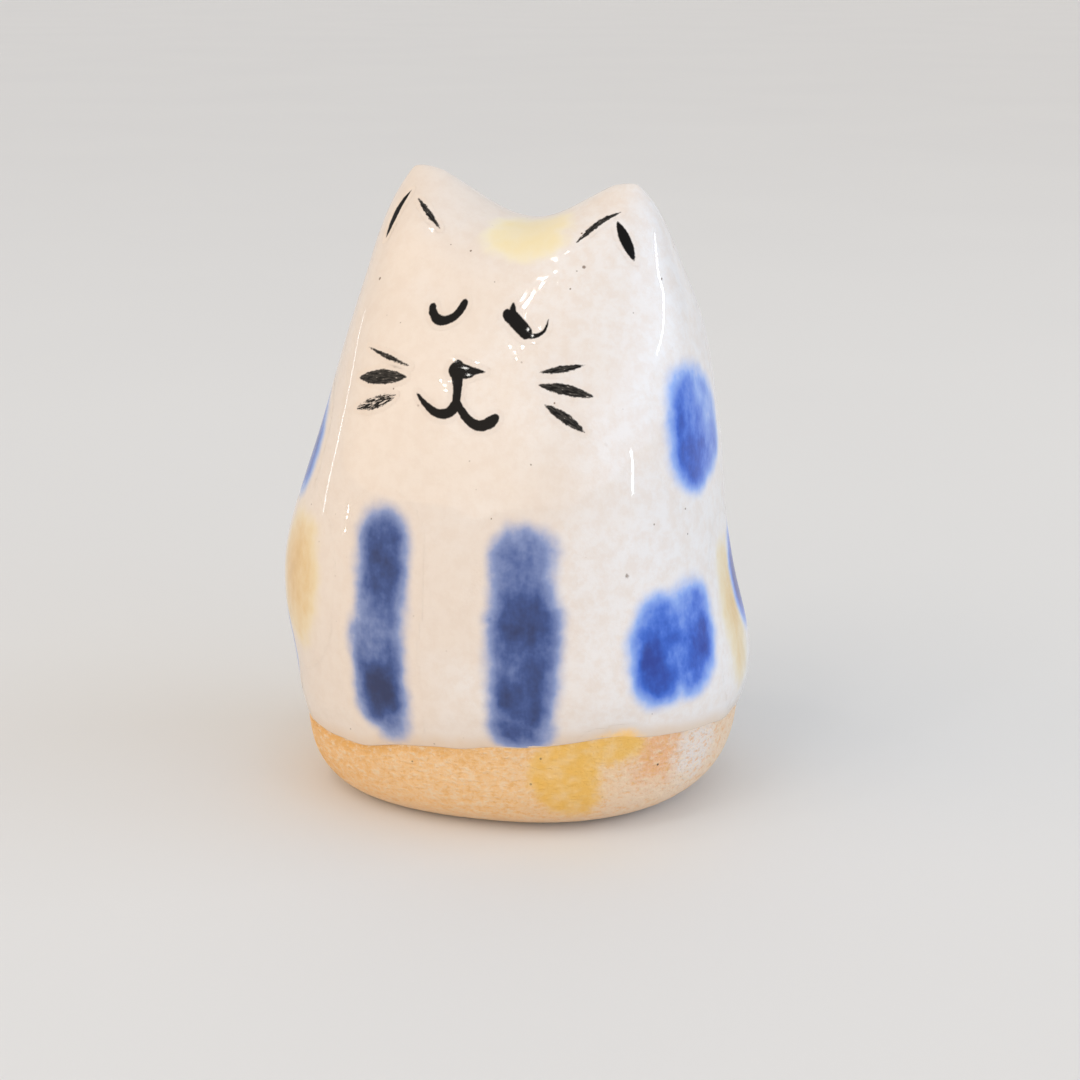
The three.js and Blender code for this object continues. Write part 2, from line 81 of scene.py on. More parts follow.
class Bench:
    """Small jobs at the bench, each done with Blender's own operators on one object."""

    @staticmethod
    def take(piece: bpy.types.Object) -> None:
        """Deselects everything, then selects one piece and makes it active.

        Args:
            piece: The object to work on.
        """
        if bpy.context.mode != "OBJECT":
            bpy.ops.object.mode_set(mode="OBJECT")
        bpy.ops.object.select_all(action="DESELECT")
        piece.select_set(True)
        bpy.context.view_layer.objects.active = piece

    @staticmethod
    def merged_copy(node: str, name: str, gap: float = 0.004) -> bpy.types.Object:
        """Copies a CAD node's mesh into a new object and joins its loose triangles into clean quads.

        Args:
            node: The CAD node's name.
            name: The new object's name.
            gap: How near to each other vertices are joined, in millimetres.

        Returns:
            The new object, which rides on nothing yet.
        """
        piece = bpy.data.objects.new(name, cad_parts[node].data.copy())
        bpy.context.scene.collection.objects.link(piece)
        Bench.take(piece)
        bpy.ops.mesh.customdata_custom_splitnormals_clear()
        bpy.ops.object.mode_set(mode="EDIT")
        bpy.ops.mesh.select_all(action="SELECT")
        bpy.ops.mesh.remove_doubles(threshold=gap * MM)
        bpy.ops.mesh.tris_convert_to_quads(face_threshold=math.pi, shape_threshold=math.pi)
        bpy.ops.object.mode_set(mode="OBJECT")
        return piece

    @staticmethod
    def finish_with(piece: bpy.types.Object, kind: str, **settings: object) -> None:
        """Adds one modifier, sets it up and applies it.

        Args:
            piece: The object to work on.
            kind: The modifier's type, such as "SUBSURF".
            **settings: The modifier's own settings.
        """
        Bench.take(piece)
        modifier = piece.modifiers.new(kind.title(), kind)
        for name, value in settings.items():
            setattr(modifier, name, value)
        bpy.ops.object.modifier_apply(modifier=modifier.name)

    @staticmethod
    def subdivide_smooth(piece: bpy.types.Object, levels: int) -> None:
        """Rounds a piece with subdivision surfaces.

        Args:
            piece: The object to work on.
            levels: How many times each face is halved both ways.
        """
        Bench.finish_with(piece, "SUBSURF", levels=levels, render_levels=levels)

    @staticmethod
    def shade(piece: bpy.types.Object, angle: float = 40.0) -> None:
        """Shades a piece smooth but for its edges sharper than an angle in degrees."""
        Bench.take(piece)
        bpy.ops.object.shade_smooth_by_angle(angle=math.radians(angle))

    @staticmethod
    def soften_above(piece: bpy.types.Object, height: float, times: int) -> None:
        """Evens out the vertices above a height, so that a pinched tip comes out round.

        Args:
            piece: The object to work on.
            height: The height in millimetres.
            times: How many times each vertex moves towards its neighbours.
        """
        high = Bench.points_of(piece)[:, 2] > height
        Bench.select_points(piece, high)
        bpy.ops.mesh.vertices_smooth(factor=0.5, repeat=times)
        bpy.ops.object.mode_set(mode="OBJECT")

    @staticmethod
    def select_points(piece: bpy.types.Object, chosen: np.ndarray) -> None:
        """Opens a piece in edit mode with only some of its vertices selected.

        Args:
            piece: The object to work on.
            chosen: True for each vertex to select.
        """
        Bench.take(piece)
        bpy.ops.object.mode_set(mode="EDIT")
        bpy.ops.mesh.select_mode(type="VERT")
        bpy.ops.mesh.select_all(action="DESELECT")
        bpy.ops.object.mode_set(mode="OBJECT")
        piece.data.vertices.foreach_set("select", chosen)
        bpy.ops.object.mode_set(mode="EDIT")

    @staticmethod
    def points_of(piece: bpy.types.Object) -> np.ndarray:
        """Reads where a piece's vertices are.

        Args:
            piece: The object to read.

        Returns:
            One row for each vertex, in millimetres.
        """
        places = np.zeros(len(piece.data.vertices) * 3)
        piece.data.vertices.foreach_get("co", places)
        return places.reshape(-1, 3) / MM

    @staticmethod
    def normals_of(piece: bpy.types.Object) -> np.ndarray:
        """Reads the normals at a piece's vertices.

        Args:
            piece: The object to read.

        Returns:
            One row for each vertex.
        """
        normals = np.zeros(len(piece.data.vertices) * 3)
        piece.data.vertices.foreach_get("normal", normals)
        return normals.reshape(-1, 3)

    @staticmethod
    def set_points(piece: bpy.types.Object, points: np.ndarray) -> None:
        """Moves a piece's vertices to places in millimetres.

        Args:
            piece: The object to work on.
            points: One row for each vertex.
        """
        piece.data.vertices.foreach_set("co", (points * MM).ravel())
        piece.data.update()

    @staticmethod
    def write_reading(piece: bpy.types.Object, name: str, values: np.ndarray) -> None:
        """Stores a number, or three, on each vertex, for a finish to read.

        Args:
            piece: The object to write on.
            name: The attribute's name.
            values: One value for each vertex, or one row of three.
        """
        if values.ndim == 1:
            piece.data.attributes.new(name, "FLOAT", "POINT").data.foreach_set("value", values)
        else:
            piece.data.attributes.new(name, "FLOAT_VECTOR", "POINT").data.foreach_set("vector", values.ravel())

    @staticmethod
    def hand_over(piece: bpy.types.Object, node: str, slot: str, material: bpy.types.Material) -> None:
        """Dresses a finished piece, puts it on the one body, lets it stand for its CAD node and reports it.

        Args:
            piece: The finished object.
            node: The CAD node that it stands for.
            slot: The record's material slot; not used.
            material: What it is finished in.
        """
        piece.data.materials.clear()
        piece.data.materials.append(material)
        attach(piece, "root")
        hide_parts(node)
        LOG.info("%s: %d faces", piece.name, len(piece.data.polygons))


# ---------- the figure's own measure ----------


@dataclass(frozen=True)
class BodyShares:
    """Where the figure's measure lies in its boxes, whose middle is off because the haunches differ."""

    axis_across: float = 0.5023
    axis_along: float = 0.5073
    half_width: float = 0.5015
    height: float = 0.9988


@dataclass(frozen=True)
class Measure:
    """The figure's axis, half width and height, from which every mark takes its place."""

    axis: Vector
    half_width: float
    height: float

    @classmethod
    def from_frame(cls) -> "Measure":
        """Reads the measure from the clay body's box and the whole figure's top.

        Returns:
            The measure, in millimetres.
        """
        shares = BodyShares()
        low, high = (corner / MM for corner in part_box("clay_body"))
        size = high - low
        axis = Vector((low.x + shares.axis_across * size.x, low.y + shares.axis_along * size.y, 0.0))
        return cls(axis, shares.half_width * size.x, shares.height * CAD_BOX[1].z / MM)

    def at(self, across: float, along: float, up: float) -> Triple:
        """Turns shares of the half width, to the left and back, and of the height into a place."""
        width, axis = self.half_width, self.axis
        return axis.x + across * width, axis.y + along * width, up * self.height

    def turns(self, points: np.ndarray) -> np.ndarray:
        """Returns each point's angle about the axis, in radians."""
        return np.arctan2(points[:, 1] - self.axis.y, points[:, 0] - self.axis.x)

    def outward(self, points: np.ndarray) -> np.ndarray:
        """Gives the level direction away from the axis at each point.

        Args:
            points: One row for each point, in millimetres.

        Returns:
            One row for each point, shorter than 1 only within a millimetre of the axis.
        """
        outward = points[:, :2] - np.array([*self.axis])[:2]
        return outward / np.maximum(np.linalg.norm(outward, axis=1), 1.0)[:, None]


@dataclass(frozen=True)
class GlazeLine:
    """The line where the glaze stops: the CAD coat's rim, with a small waver of the hand added."""

    measure: Measure
    angles: np.ndarray
    heights: np.ndarray
    lip_drop: float = 0.25
    wavers: tuple[Triple, ...] = ((0.16, 7, 1.3), (0.1, 13, 0.4), (0.07, 23, 2.1), (0.045, 41, 0.9))

    @classmethod
    def from_frame(cls, measure: Measure, posts: int = 40, zone: float = 0.21) -> "GlazeLine":
        """Reads the rim of the CAD coat post by post.

        Args:
            measure: The figure's measure.
            posts: How many posts of vertices the CAD coat has round it.
            zone: The share of the height below which the rim lies.

        Returns:
            The line, as heights at angles about the axis.
        """
        points = Bench.points_of(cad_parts["glaze_coat"])
        rim = points[points[:, 2] < zone * measure.height]
        turns = measure.turns(rim)
        nearest = np.round(turns / math.radians(360 / posts)).astype(int) % posts
        lowest = []
        for post in sorted(set(nearest.tolist())):
            chosen = np.flatnonzero(nearest == post)
            best = chosen[np.argmin(rim[chosen, 2])]
            lowest.append((turns[best], rim[best, 2]))
        lowest.sort()
        angles, heights = np.array(lowest).T
        return cls(measure, angles, heights)

    def even(self, points: np.ndarray) -> np.ndarray:
        """Returns the CAD line's height under or over each point."""
        turns = self.measure.turns(points)
        return np.interp(turns, self.angles, self.heights, period=2 * math.pi) + self.lip_drop

    def waver(self, points: np.ndarray) -> np.ndarray:
        """Returns how far the hand-wiped line rises or falls from the even one at each point."""
        turns = self.measure.turns(points)
        return sum(rise * np.sin(count * turns + start) for rise, count, start in self.wavers)

    def above(self, points: np.ndarray) -> np.ndarray:
        """Returns each point's height above the wavering line, negative on the bare clay."""
        return points[:, 2] - self.even(points) - self.waver(points)


# ---------- materials, built node by node ----------


class Recipe:
    """One procedural material while it is being put together."""

    def __init__(self, name: str) -> None:
        """Starts a material with an empty Principled shader.

        Args:
            name: The material's name.
        """
        self.material = bpy.data.materials.new(name)
        self.material.use_nodes = True
        self.nodes = self.material.node_tree.nodes
        self.links = self.material.node_tree.links
        self.nodes.clear()
        self.output = self.nodes.new("ShaderNodeOutputMaterial")
        self.shader = self.nodes.new("ShaderNodeBsdfPrincipled")
        self.links.new(self.shader.outputs["BSDF"], self.output.inputs["Surface"])

    def feed(self, socket: Socket, value: object) -> None:
        """Gives a socket a value, or a link if the value is another node's output.

        Args:
            socket: The input to fill.
            value: A number, a colour, a vector or an output socket.
        """
        if isinstance(value, bpy.types.NodeSocket):
            self.links.new(value, socket)
        elif isinstance(value, tuple) and len(value) == 3 and socket.type == "RGBA":
            socket.default_value = (*value, 1.0)
        else:
            socket.default_value = value

    def position(self, stretch: Triple = (1.0, 1.0, 1.0)) -> Socket:
        """Gives the place on the object in millimetres.

        Args:
            stretch: Shares by which the pattern is squeezed along x, y and z.

        Returns:
            The vector output.
        """
        place = self.nodes.new("ShaderNodeTexCoord")
        mapping = self.nodes.new("ShaderNodeMapping")
        mapping.inputs["Scale"].default_value = tuple(s / MM for s in stretch)
        self.links.new(place.outputs["Object"], mapping.inputs["Vector"])
        return mapping.outputs["Vector"]

    def reading(self, name: str, vector: bool = False) -> Socket:
        """Gives an attribute written on the piece.

        Args:
            name: The attribute's name.
            vector: Whether it is a vector, and not a number.

        Returns:
            The reading.
        """
        node = self.nodes.new("ShaderNodeAttribute")
        node.attribute_name = name
        return node.outputs["Vector" if vector else "Fac"]

    def cloud(self, place: Socket, scale: float, detail: float = 2.0, roughness: float = 0.5) -> Socket:
        """Gives soft noise from 0 to 1.

        Args:
            place: The vector to read it at.
            scale: Clouds to the millimetre.
            detail: How many finer layers it has.
            roughness: How strong the finer layers are.

        Returns:
            The noise.
        """
        node = self.nodes.new("ShaderNodeTexNoise")
        self.links.new(place, node.inputs["Vector"])
        node.inputs["Scale"].default_value = scale
        node.inputs["Detail"].default_value = detail
        node.inputs["Roughness"].default_value = roughness
        return node.outputs["Fac"]

    def swing(
        self, place: Socket, reach: float, scale: float, detail: float = 2.0, roughness: float = 0.5
    ) -> Socket:
        """Gives soft noise that swings evenly about 0.

        Args:
            place: The vector to read it at.
            reach: How far it is from its lowest to its highest.
            scale: Clouds to the millimetre.
            detail: How many finer layers it has.
            roughness: How strong the finer layers are.

        Returns:
            The noise.
        """
        centred = self.sums("SUBTRACT", self.cloud(place, scale, detail, roughness), 0.5)
        return self.sums("MULTIPLY", centred, reach)

    def specks(
        self, place: Socket, scale: float, rarity: float, edges: tuple[float, float], grain: float = 0.0
    ) -> tuple[Socket, Socket]:
        """Scatters round specks.

        Args:
            place: The vector to read them at.
            scale: How many places for a speck there are to the millimetre.
            rarity: The share of the places that stay empty.
            edges: Where a speck fades out and where it is whole, in shares of the spacing.
            grain: How far its edge is frayed.

        Returns:
            The share of speck at each place, and the speck's random strength.
        """
        node = self.nodes.new("ShaderNodeTexVoronoi")
        self.links.new(place, node.inputs["Vector"])
        node.inputs["Scale"].default_value = scale
        draw = self.nodes.new("ShaderNodeSeparateColor")
        self.links.new(node.outputs["Color"], draw.inputs["Color"])
        distance = node.outputs["Distance"]
        if grain:
            distance = self.sums("ADD", distance, self.sums("MULTIPLY", self.cloud(place, 5.0, 1.0), grain))
        chosen = self.sums("GREATER_THAN", draw.outputs["Red"], rarity)
        return self.sums("MULTIPLY", self.ease(distance, *edges), chosen), draw.outputs["Green"]

    def sums(self, operation: str, first: object, second: object = 0.0, clamp: bool = False) -> Socket:
        """Gives the result of one sum.

        Args:
            operation: A Math node's operation, such as "ADD".
            first: A number or an output.
            second: A number or an output.
            clamp: Whether to keep the result between 0 and 1.

        Returns:
            The result.
        """
        node = self.nodes.new("ShaderNodeMath")
        node.operation = operation
        node.use_clamp = clamp
        self.feed(node.inputs[0], first)
        self.feed(node.inputs[1], second)
        return node.outputs["Value"]

    def ease(self, value: Socket, start: float, end: float, low: float = 0.0, high: float = 1.0) -> Socket:
        """Gives a smooth step of a value.

        Args:
            value: The value to ease.
            start: Where the step starts.
            end: Where it ends, which may be lower than its start.
            low: The result up to the start.
            high: The result past the end.

        Returns:
            The result.
        """
        node = self.nodes.new("ShaderNodeMapRange")
        node.interpolation_type = "SMOOTHSTEP"
        self.links.new(value, node.inputs["Value"])
        for name, number in (("From Min", start), ("From Max", end), ("To Min", low), ("To Max", high)):
            node.inputs[name].default_value = number
        return node.outputs["Result"]

    def blend(self, share: object, first: object, second: object, kind: str = "MIX") -> Socket:
        """Gives a blend of two colours.

        Args:
            share: How much of the second there is, from 0 to 1.
            first: A colour or an output.
            second: A colour or an output.
            kind: How they blend, such as "MIX" or "MULTIPLY".

        Returns:
            The blended colour.
        """
        node = self.nodes.new("ShaderNodeMix")
        node.data_type = "RGBA"
        node.blend_type = kind
        node.clamp_factor = True
        self.feed(node.inputs[0], share)
        self.feed(node.inputs[6], first)
        self.feed(node.inputs[7], second)
        return node.outputs[2]

    def relief(self, height: Socket) -> None:
        """Gives the surface a relief.

        Args:
            height: How high the relief stands, in millimetres.
        """
        node = self.nodes.new("ShaderNodeBump")
        node.inputs["Strength"].default_value = 1.0
        node.inputs["Distance"].default_value = MM
        self.links.new(height, node.inputs["Height"])
        self.links.new(node.outputs["Normal"], self.shader.inputs["Normal"])

    def gloss(self, roughness: float, coat: float = 0.0, coat_roughness: float = 0.03) -> None:
        """Sets the shader's own roughness and its clear coat.

        Args:
            roughness: Of the layer under the coat.
            coat: How much clear coat there is.
            coat_roughness: Of the coat.
        """
        self.shader.inputs["Roughness"].default_value = roughness
        self.shader.inputs["Coat Weight"].default_value = coat
        self.shader.inputs["Coat Roughness"].default_value = coat_roughness
        self.shader.inputs["Coat IOR"].default_value = 1.5


@dataclass(frozen=True)
class GlazeFinish:
    """Milky white glaze: creamy towards -X and milkier towards +X as painted warm and cool light, mottled,
    specked, thin and buff along its edge, with a rippled gloss.
    """

    warm_lit_cream: Colour = (0.79, 0.69, 0.605)
    cool_lit_milk: Colour = (0.81, 0.765, 0.735)
    mottle: Colour = (0.74, 0.62, 0.525)
    thin_buff: Colour = (0.72, 0.56, 0.42)
    speck_brown: Colour = (0.16, 0.09, 0.05)
    edge_width: float = 1.3
    ripple: float = 0.022
    crinkle: float = 0.024
    glint: float = 0.01
    roughness: float = 0.42
    coat: float = 0.8
    speck_kinds: tuple[Triple, ...] = ((0.36, 0.35, 0.045), (0.7, 0.5, 0.05), (0.2, 0.2, 0.028))

    def ground(self, recipe: Recipe) -> Socket:
        """Lays the colour of the bare glaze.

        Args:
            recipe: The material being made.

        Returns:
            The colour.
        """
        place = recipe.position()
        split = recipe.nodes.new("ShaderNodeSeparateXYZ")
        recipe.links.new(place, split.inputs["Vector"])
        wander = recipe.swing(place, 40.0, 0.13)
        # Painted warm and cool light: the glaze turns creamier towards -X, where the warm light falls, and
        # milkier towards +X, where the cool light falls.
        painted_light_side = recipe.ease(recipe.sums("ADD", split.outputs["X"], wander), -4.0, 14.0)
        colour = recipe.blend(painted_light_side, self.warm_lit_cream, self.cool_lit_milk)
        fine = recipe.ease(recipe.cloud(place, 0.9, 5.0, 0.68), 0.36, 0.68, 0.0, 0.5)
        colour = recipe.blend(fine, colour, self.mottle)
        edge = recipe.sums("ADD", recipe.reading("line_mm"), recipe.cloud(place, 0.9, 3.0))
        worn = recipe.ease(edge, self.edge_width + 0.5, 0.45, 0.0, 0.85)
        colour = recipe.blend(worn, colour, self.thin_buff)
        for scale, rarity, reach in self.speck_kinds:
            dot, strength = recipe.specks(place, scale, rarity, (reach + 0.05, reach + 0.015), grain=0.06)
            colour = recipe.blend(recipe.sums("MULTIPLY", dot, strength), colour, self.speck_brown)
        return colour

    def skin(self, recipe: Recipe) -> Socket:
        """Lays the ripple and the fine crinkle of the fired surface.

        Args:
            recipe: The material being made.

        Returns:
            The height in millimetres.
        """
        place = recipe.position()
        broad = recipe.sums("MULTIPLY", recipe.cloud(place, 0.55, 2.0, 0.45), self.ripple)
        fine = recipe.sums("MULTIPLY", recipe.cloud(place, 2.6, 2.0, 0.55), self.crinkle)
        finest = recipe.sums("MULTIPLY", recipe.cloud(place, 6.5, 1.0, 0.5), self.glint)
        fine = recipe.sums("ADD", fine, finest)
        patchy = recipe.ease(recipe.cloud(place, 0.3, 1.0, 0.5), 0.35, 0.62, 0.25, 1.0)
        return recipe.sums("ADD", broad, recipe.sums("MULTIPLY", fine, patchy))

    def material(self) -> bpy.types.Material:
        """Makes the material of the plain coat.

        Returns:
            The material.
        """
        recipe = Recipe("white_glaze")
        recipe.feed(recipe.shader.inputs["Base Color"], self.ground(recipe))
        recipe.relief(self.skin(recipe))
        recipe.gloss(self.roughness, self.coat)
        return recipe.material


class Dryness(Enum):
    """How dry the brush was: how much of a stroke is missed, and how ragged its edge is in millimetres."""

    WET = (0.0, 0.07)
    DRAGGED = (0.34, 0.13)
    DRY = (0.46, 0.2)

    @property
    def missed(self) -> float:
        """The share of the stroke that the hairs missed."""
        return self.value[0]

    @property
    def ragged(self) -> float:
        """How far the edge wanders, in millimetres."""
        return self.value[1]


@dataclass(frozen=True)
class BlackLineFinish:
    """Iron-black line brushed on with a fine brush, under the gloss."""

    glaze: GlazeFinish
    black: Colour = (0.0045, 0.004, 0.004)
    dry_grey: Colour = (0.05, 0.045, 0.04)
    relief_height: float = 0.018
    roughness: float = 0.4
    coat: float = 0.16
    specular: float = 0.05

    def material(self, dryness: Dryness, beneath: "WashFinish | None" = None) -> bpy.types.Material:
        """Makes the line's material.

        Args:
            dryness: How dry the brush was.
            beneath: A wash that the line may cross.

        Returns:
            The material, which fades to bare glaze outside the stroke.
        """
        recipe = Recipe(f"black_line_{dryness.name.lower()}")
        place = recipe.position()
        ink = recipe.reading("ink_mm")
        reach = recipe.sums("ADD", ink, recipe.swing(place, dryness.ragged * 2, 3.4, 3.0, 0.6))
        mask = recipe.ease(reach, -0.05, 0.055)
        tone: object = self.black
        if dryness.missed:
            along = recipe.nodes.new("ShaderNodeVectorMath")
            along.operation = "MULTIPLY"
            along.inputs[1].default_value = (1.3, 7.0, 1.0)
            recipe.links.new(recipe.reading("stroke_mm", vector=True), along.inputs[0])
            hairs = recipe.cloud(along.outputs["Vector"], 1.0, 3.0, 0.65)
            kept = recipe.ease(hairs, dryness.missed - 0.05, dryness.missed + 0.05)
            mask = recipe.sums("MULTIPLY", mask, kept)
            tone = recipe.blend(recipe.ease(hairs, 0.4, 0.62), self.dry_grey, self.black)
        ground = self.glaze.ground(recipe)
        if beneath:
            ground = beneath.over(recipe, ground, "beneath_mm", "beneath_load")
        recipe.feed(recipe.shader.inputs["Base Color"], recipe.blend(mask, ground, tone))
        raised = recipe.sums("MULTIPLY", mask, self.relief_height)
        recipe.relief(recipe.sums("ADD", self.glaze.skin(recipe), raised))
        recipe.gloss(self.roughness, self.coat)
        recipe.shader.inputs["Specular IOR Level"].default_value = self.specular
        return recipe.material


@dataclass(frozen=True)
class WashFinish:
    """A watery colour brushed on broadly: feathered edges, clouds and dark pools where it settled."""

    glaze: GlazeFinish
    name: str
    pale: Colour
    full: Colour
    deep: Colour
    body: float
    feather: float
    wander: float
    cloudiness: float
    specular: float = 0.5
    coat: float = 0.7
    beneath: "WashFinish | None" = None

    def material(self) -> bpy.types.Material:
        """Makes the wash's material.

        Returns:
            The material, which fades to bare glaze outside the stroke.
        """
        recipe = Recipe(self.name)
        ground = self.glaze.ground(recipe)
        if self.beneath:
            ground = self.beneath.over(recipe, ground, "beneath_mm", "beneath_load")
        recipe.feed(recipe.shader.inputs["Base Color"], self.over(recipe, ground, "ink_mm", "load"))
        recipe.relief(self.glaze.skin(recipe))
        recipe.gloss(self.glaze.roughness, self.coat)
        recipe.shader.inputs["Specular IOR Level"].default_value = self.specular
        return recipe.material

    def over(self, recipe: Recipe, ground: Socket, ink_name: str, load_name: str) -> Socket:
        """Lays the wash over a ground.

        Args:
            recipe: The material being made.
            ground: The colour under the wash.
            ink_name: The reading of how deep inside the stroke a place lies.
            load_name: The reading of how much colour the brush left there.

        Returns:
            The colour.
        """
        place = recipe.position()
        streaky = recipe.position(stretch=(1.0, 1.0, 0.3))
        reach = recipe.sums("ADD", recipe.reading(ink_name), recipe.swing(place, self.wander * 2, 0.42))
        reach = recipe.sums("ADD", reach, recipe.swing(place, self.wander * 0.4, 1.3, 3.0, 0.55))
        mask = recipe.ease(reach, -self.feather, self.feather * 0.9)
        load = recipe.sums("ADD", recipe.reading(load_name), self.body)
        load = recipe.sums("ADD", load, recipe.swing(place, self.cloudiness * 2, 0.6, 3.0, 0.6))
        load = recipe.sums("ADD", load, recipe.swing(streaky, self.cloudiness, 1.1, 3.0, 0.55))
        depth = recipe.sums("MULTIPLY", mask, load, clamp=True)
        colour = recipe.blend(recipe.ease(depth, 0.0, 0.46), ground, self.pale)
        colour = recipe.blend(recipe.ease(depth, 0.26, 0.78), colour, self.full)
        return recipe.blend(recipe.ease(depth, 0.6, 1.0), colour, self.deep)


@dataclass(frozen=True)
class BareClayFinish:
    """Unglazed buff stoneware: peach, toast-orange towards -X and pale at its left as painted warm and cool
    light, paler at the bottom as painted floor light, finely wrinkled with painted shade in the wrinkles, and
    sandy.
    """

    flush_place: Triple
    slip_place: Triple
    peach: Colour = (1.0, 0.64, 0.32)
    toasted_and_painted_shade: Colour = (0.92, 0.48, 0.13)
    pale: Colour = (0.96, 0.72, 0.52)
    chalk_and_painted_highlight: Colour = (1.0, 0.77, 0.54)
    flush: Colour = (0.96, 0.53, 0.28)
    slip: Colour = (0.93, 0.82, 0.75)
    speck: Colour = (0.12, 0.06, 0.03)
    patch_reach: float = 3.0
    wrinkle_stretch: Triple = (1.0, 1.0, 1.7)
    wrinkle_height: float = 0.42
    grit_height: float = 0.05
    roughness: float = 0.6
    specular: float = 0.4

    def near(self, recipe: Recipe, place: Socket, centre: Triple, fray: Socket) -> Socket:
        """Gives 1 round a place on the foot and 0 away from it.

        Args:
            recipe: The material being made.
            place: Where on the object, in millimetres.
            centre: The place's middle, in millimetres.
            fray: Noise that frays its edge.

        Returns:
            The share.
        """
        node = recipe.nodes.new("ShaderNodeVectorMath")
        node.operation = "DISTANCE"
        recipe.links.new(place, node.inputs[0])
        node.inputs[1].default_value = centre
        frayed = recipe.sums("MULTIPLY", fray, self.patch_reach * 1.2)
        distance = recipe.sums("ADD", node.outputs["Value"], frayed)
        return recipe.ease(distance, self.patch_reach * 1.3, self.patch_reach * 0.4)

    def ground(self, recipe: Recipe) -> Socket:
        """Lays the clay's colour.

        Args:
            recipe: The material being made.

        Returns:
            The colour.
        """
        place = recipe.position()
        split = recipe.nodes.new("ShaderNodeSeparateXYZ")
        recipe.links.new(place, split.inputs["Vector"])
        patches = recipe.swing(place, 1.0, 0.8, 4.0, 0.62)
        # Painted warm and cool light: the clay turns pale towards +X, where the cool light falls, and darker
        # toast-orange towards -X, where the warm light falls.
        side = recipe.sums("ADD", split.outputs["X"], recipe.swing(place, 14.0, 0.3, 3.0, 0.55))
        colour = recipe.blend(recipe.ease(side, 3.0, 15.0), self.peach, self.pale)
        painted_warm_side = recipe.ease(side, -5.0, -16.0, 0.0, 0.6)
        colour = recipe.blend(painted_warm_side, colour, self.toasted_and_painted_shade)
        frayed = recipe.sums("ADD", recipe.reading("line_mm"), recipe.sums("MULTIPLY", patches, 2.2))
        left_only = recipe.ease(split.outputs["X"], 8.0, -9.0, 0.1, 0.85)
        burnt = recipe.sums("MULTIPLY", recipe.ease(frayed, -1.5, -0.2), left_only)
        colour = recipe.blend(burnt, colour, self.toasted_and_painted_shade)
        colour = recipe.blend(self.near(recipe, place, self.flush_place, patches), colour, self.flush)
        colour = recipe.blend(self.near(recipe, place, self.slip_place, patches), colour, self.slip)
        wrinkles = self.wrinkles(recipe)
        # Painted light and shade: the wrinkles' crests are painted lighter and their hollows painted darker and
        # toast-orange, following the relief.
        colour = recipe.blend(recipe.ease(wrinkles, 0.5, 0.66, 0.0, 0.75), colour, self.chalk_and_painted_highlight)
        colour = recipe.blend(recipe.ease(wrinkles, 0.49, 0.36, 0.0, 0.6), colour, self.toasted_and_painted_shade)
        sand = recipe.ease(recipe.cloud(place, 4.5, 3.0, 0.7), 0.5, 0.7, 0.0, 0.4)
        colour = recipe.blend(sand, colour, self.chalk_and_painted_highlight)
        # Painted light from the floor: the clay is painted paler within 2 mm of its bottom.
        low = recipe.ease(split.outputs["Z"], 2.0, 0.3, 0.0, 0.6)
        colour = recipe.blend(low, colour, self.pale)
        dot, _ = recipe.specks(place, 0.55, 0.78, (0.07, 0.03))
        return recipe.blend(dot, colour, self.speck)

    def wrinkles(self, recipe: Recipe) -> Socket:
        """Gives the fine wrinkles of the wiped clay, which lie level, as noise from 0 to 1."""
        return recipe.cloud(recipe.position(self.wrinkle_stretch), 1.5, 5.0, 0.68)

    def skin(self, recipe: Recipe) -> Socket:
        """Lays the wrinkles and the sandy tooth of the clay.

        Args:
            recipe: The material being made.

        Returns:
            The height in millimetres.
        """
        wrinkles = recipe.sums("MULTIPLY", self.wrinkles(recipe), self.wrinkle_height)
        grit = recipe.sums("MULTIPLY", recipe.cloud(recipe.position(), 6.0, 2.0, 0.6), self.grit_height)
        return recipe.sums("ADD", wrinkles, grit)

    def material(self) -> bpy.types.Material:
        """Makes the bare clay's material.

        Returns:
            The material.
        """
        recipe = Recipe("bare_clay")
        recipe.feed(recipe.shader.inputs["Base Color"], self.ground(recipe))
        recipe.relief(self.skin(recipe))
        recipe.gloss(self.roughness)
        recipe.shader.inputs["Specular IOR Level"].default_value = self.specular
        return recipe.material


@dataclass(frozen=True)
class FootStainFinish:
    """Golden stain soaked into what it is brushed over, with brown specks in it."""

    name: str
    over: BareClayFinish | GlazeFinish
    strength: float = 1.0
    roughness: float = 0.62
    coat: float = 0.0
    coat_roughness: float = 0.1
    specular: float = 0.4
    gold: Colour = (0.98, 0.57, 0.13)
    pale_gold: Colour = (1.0, 0.66, 0.28)
    brown: Colour = (0.25, 0.12, 0.04)

    def material(self) -> bpy.types.Material:
        """Makes the stain's material.

        Returns:
            The material, which fades to the bare ground outside the stroke.
        """
        recipe = Recipe(self.name)
        place = recipe.position()
        reach = recipe.sums("ADD", recipe.reading("ink_mm"), recipe.swing(place, 1.6, 0.7, 4.0, 0.62))
        mask = recipe.ease(reach, -0.5, 0.6, 0.0, self.strength)
        mottle = recipe.ease(recipe.cloud(place, 0.9, 4.0, 0.55), 0.25, 0.62)
        gold = recipe.blend(mottle, self.pale_gold, self.gold)
        stain = recipe.blend(mask, self.over.ground(recipe), gold)
        dot, strength = recipe.specks(place, 1.2, 0.66, (0.16, 0.07))
        dot = recipe.sums("MULTIPLY", recipe.sums("MULTIPLY", dot, mask), strength)
        recipe.feed(recipe.shader.inputs["Base Color"], recipe.blend(dot, stain, self.brown))
        recipe.relief(self.over.skin(recipe))
        recipe.gloss(self.roughness, self.coat, self.coat_roughness)
        recipe.shader.inputs["Specular IOR Level"].default_value = self.specular
        return recipe.material


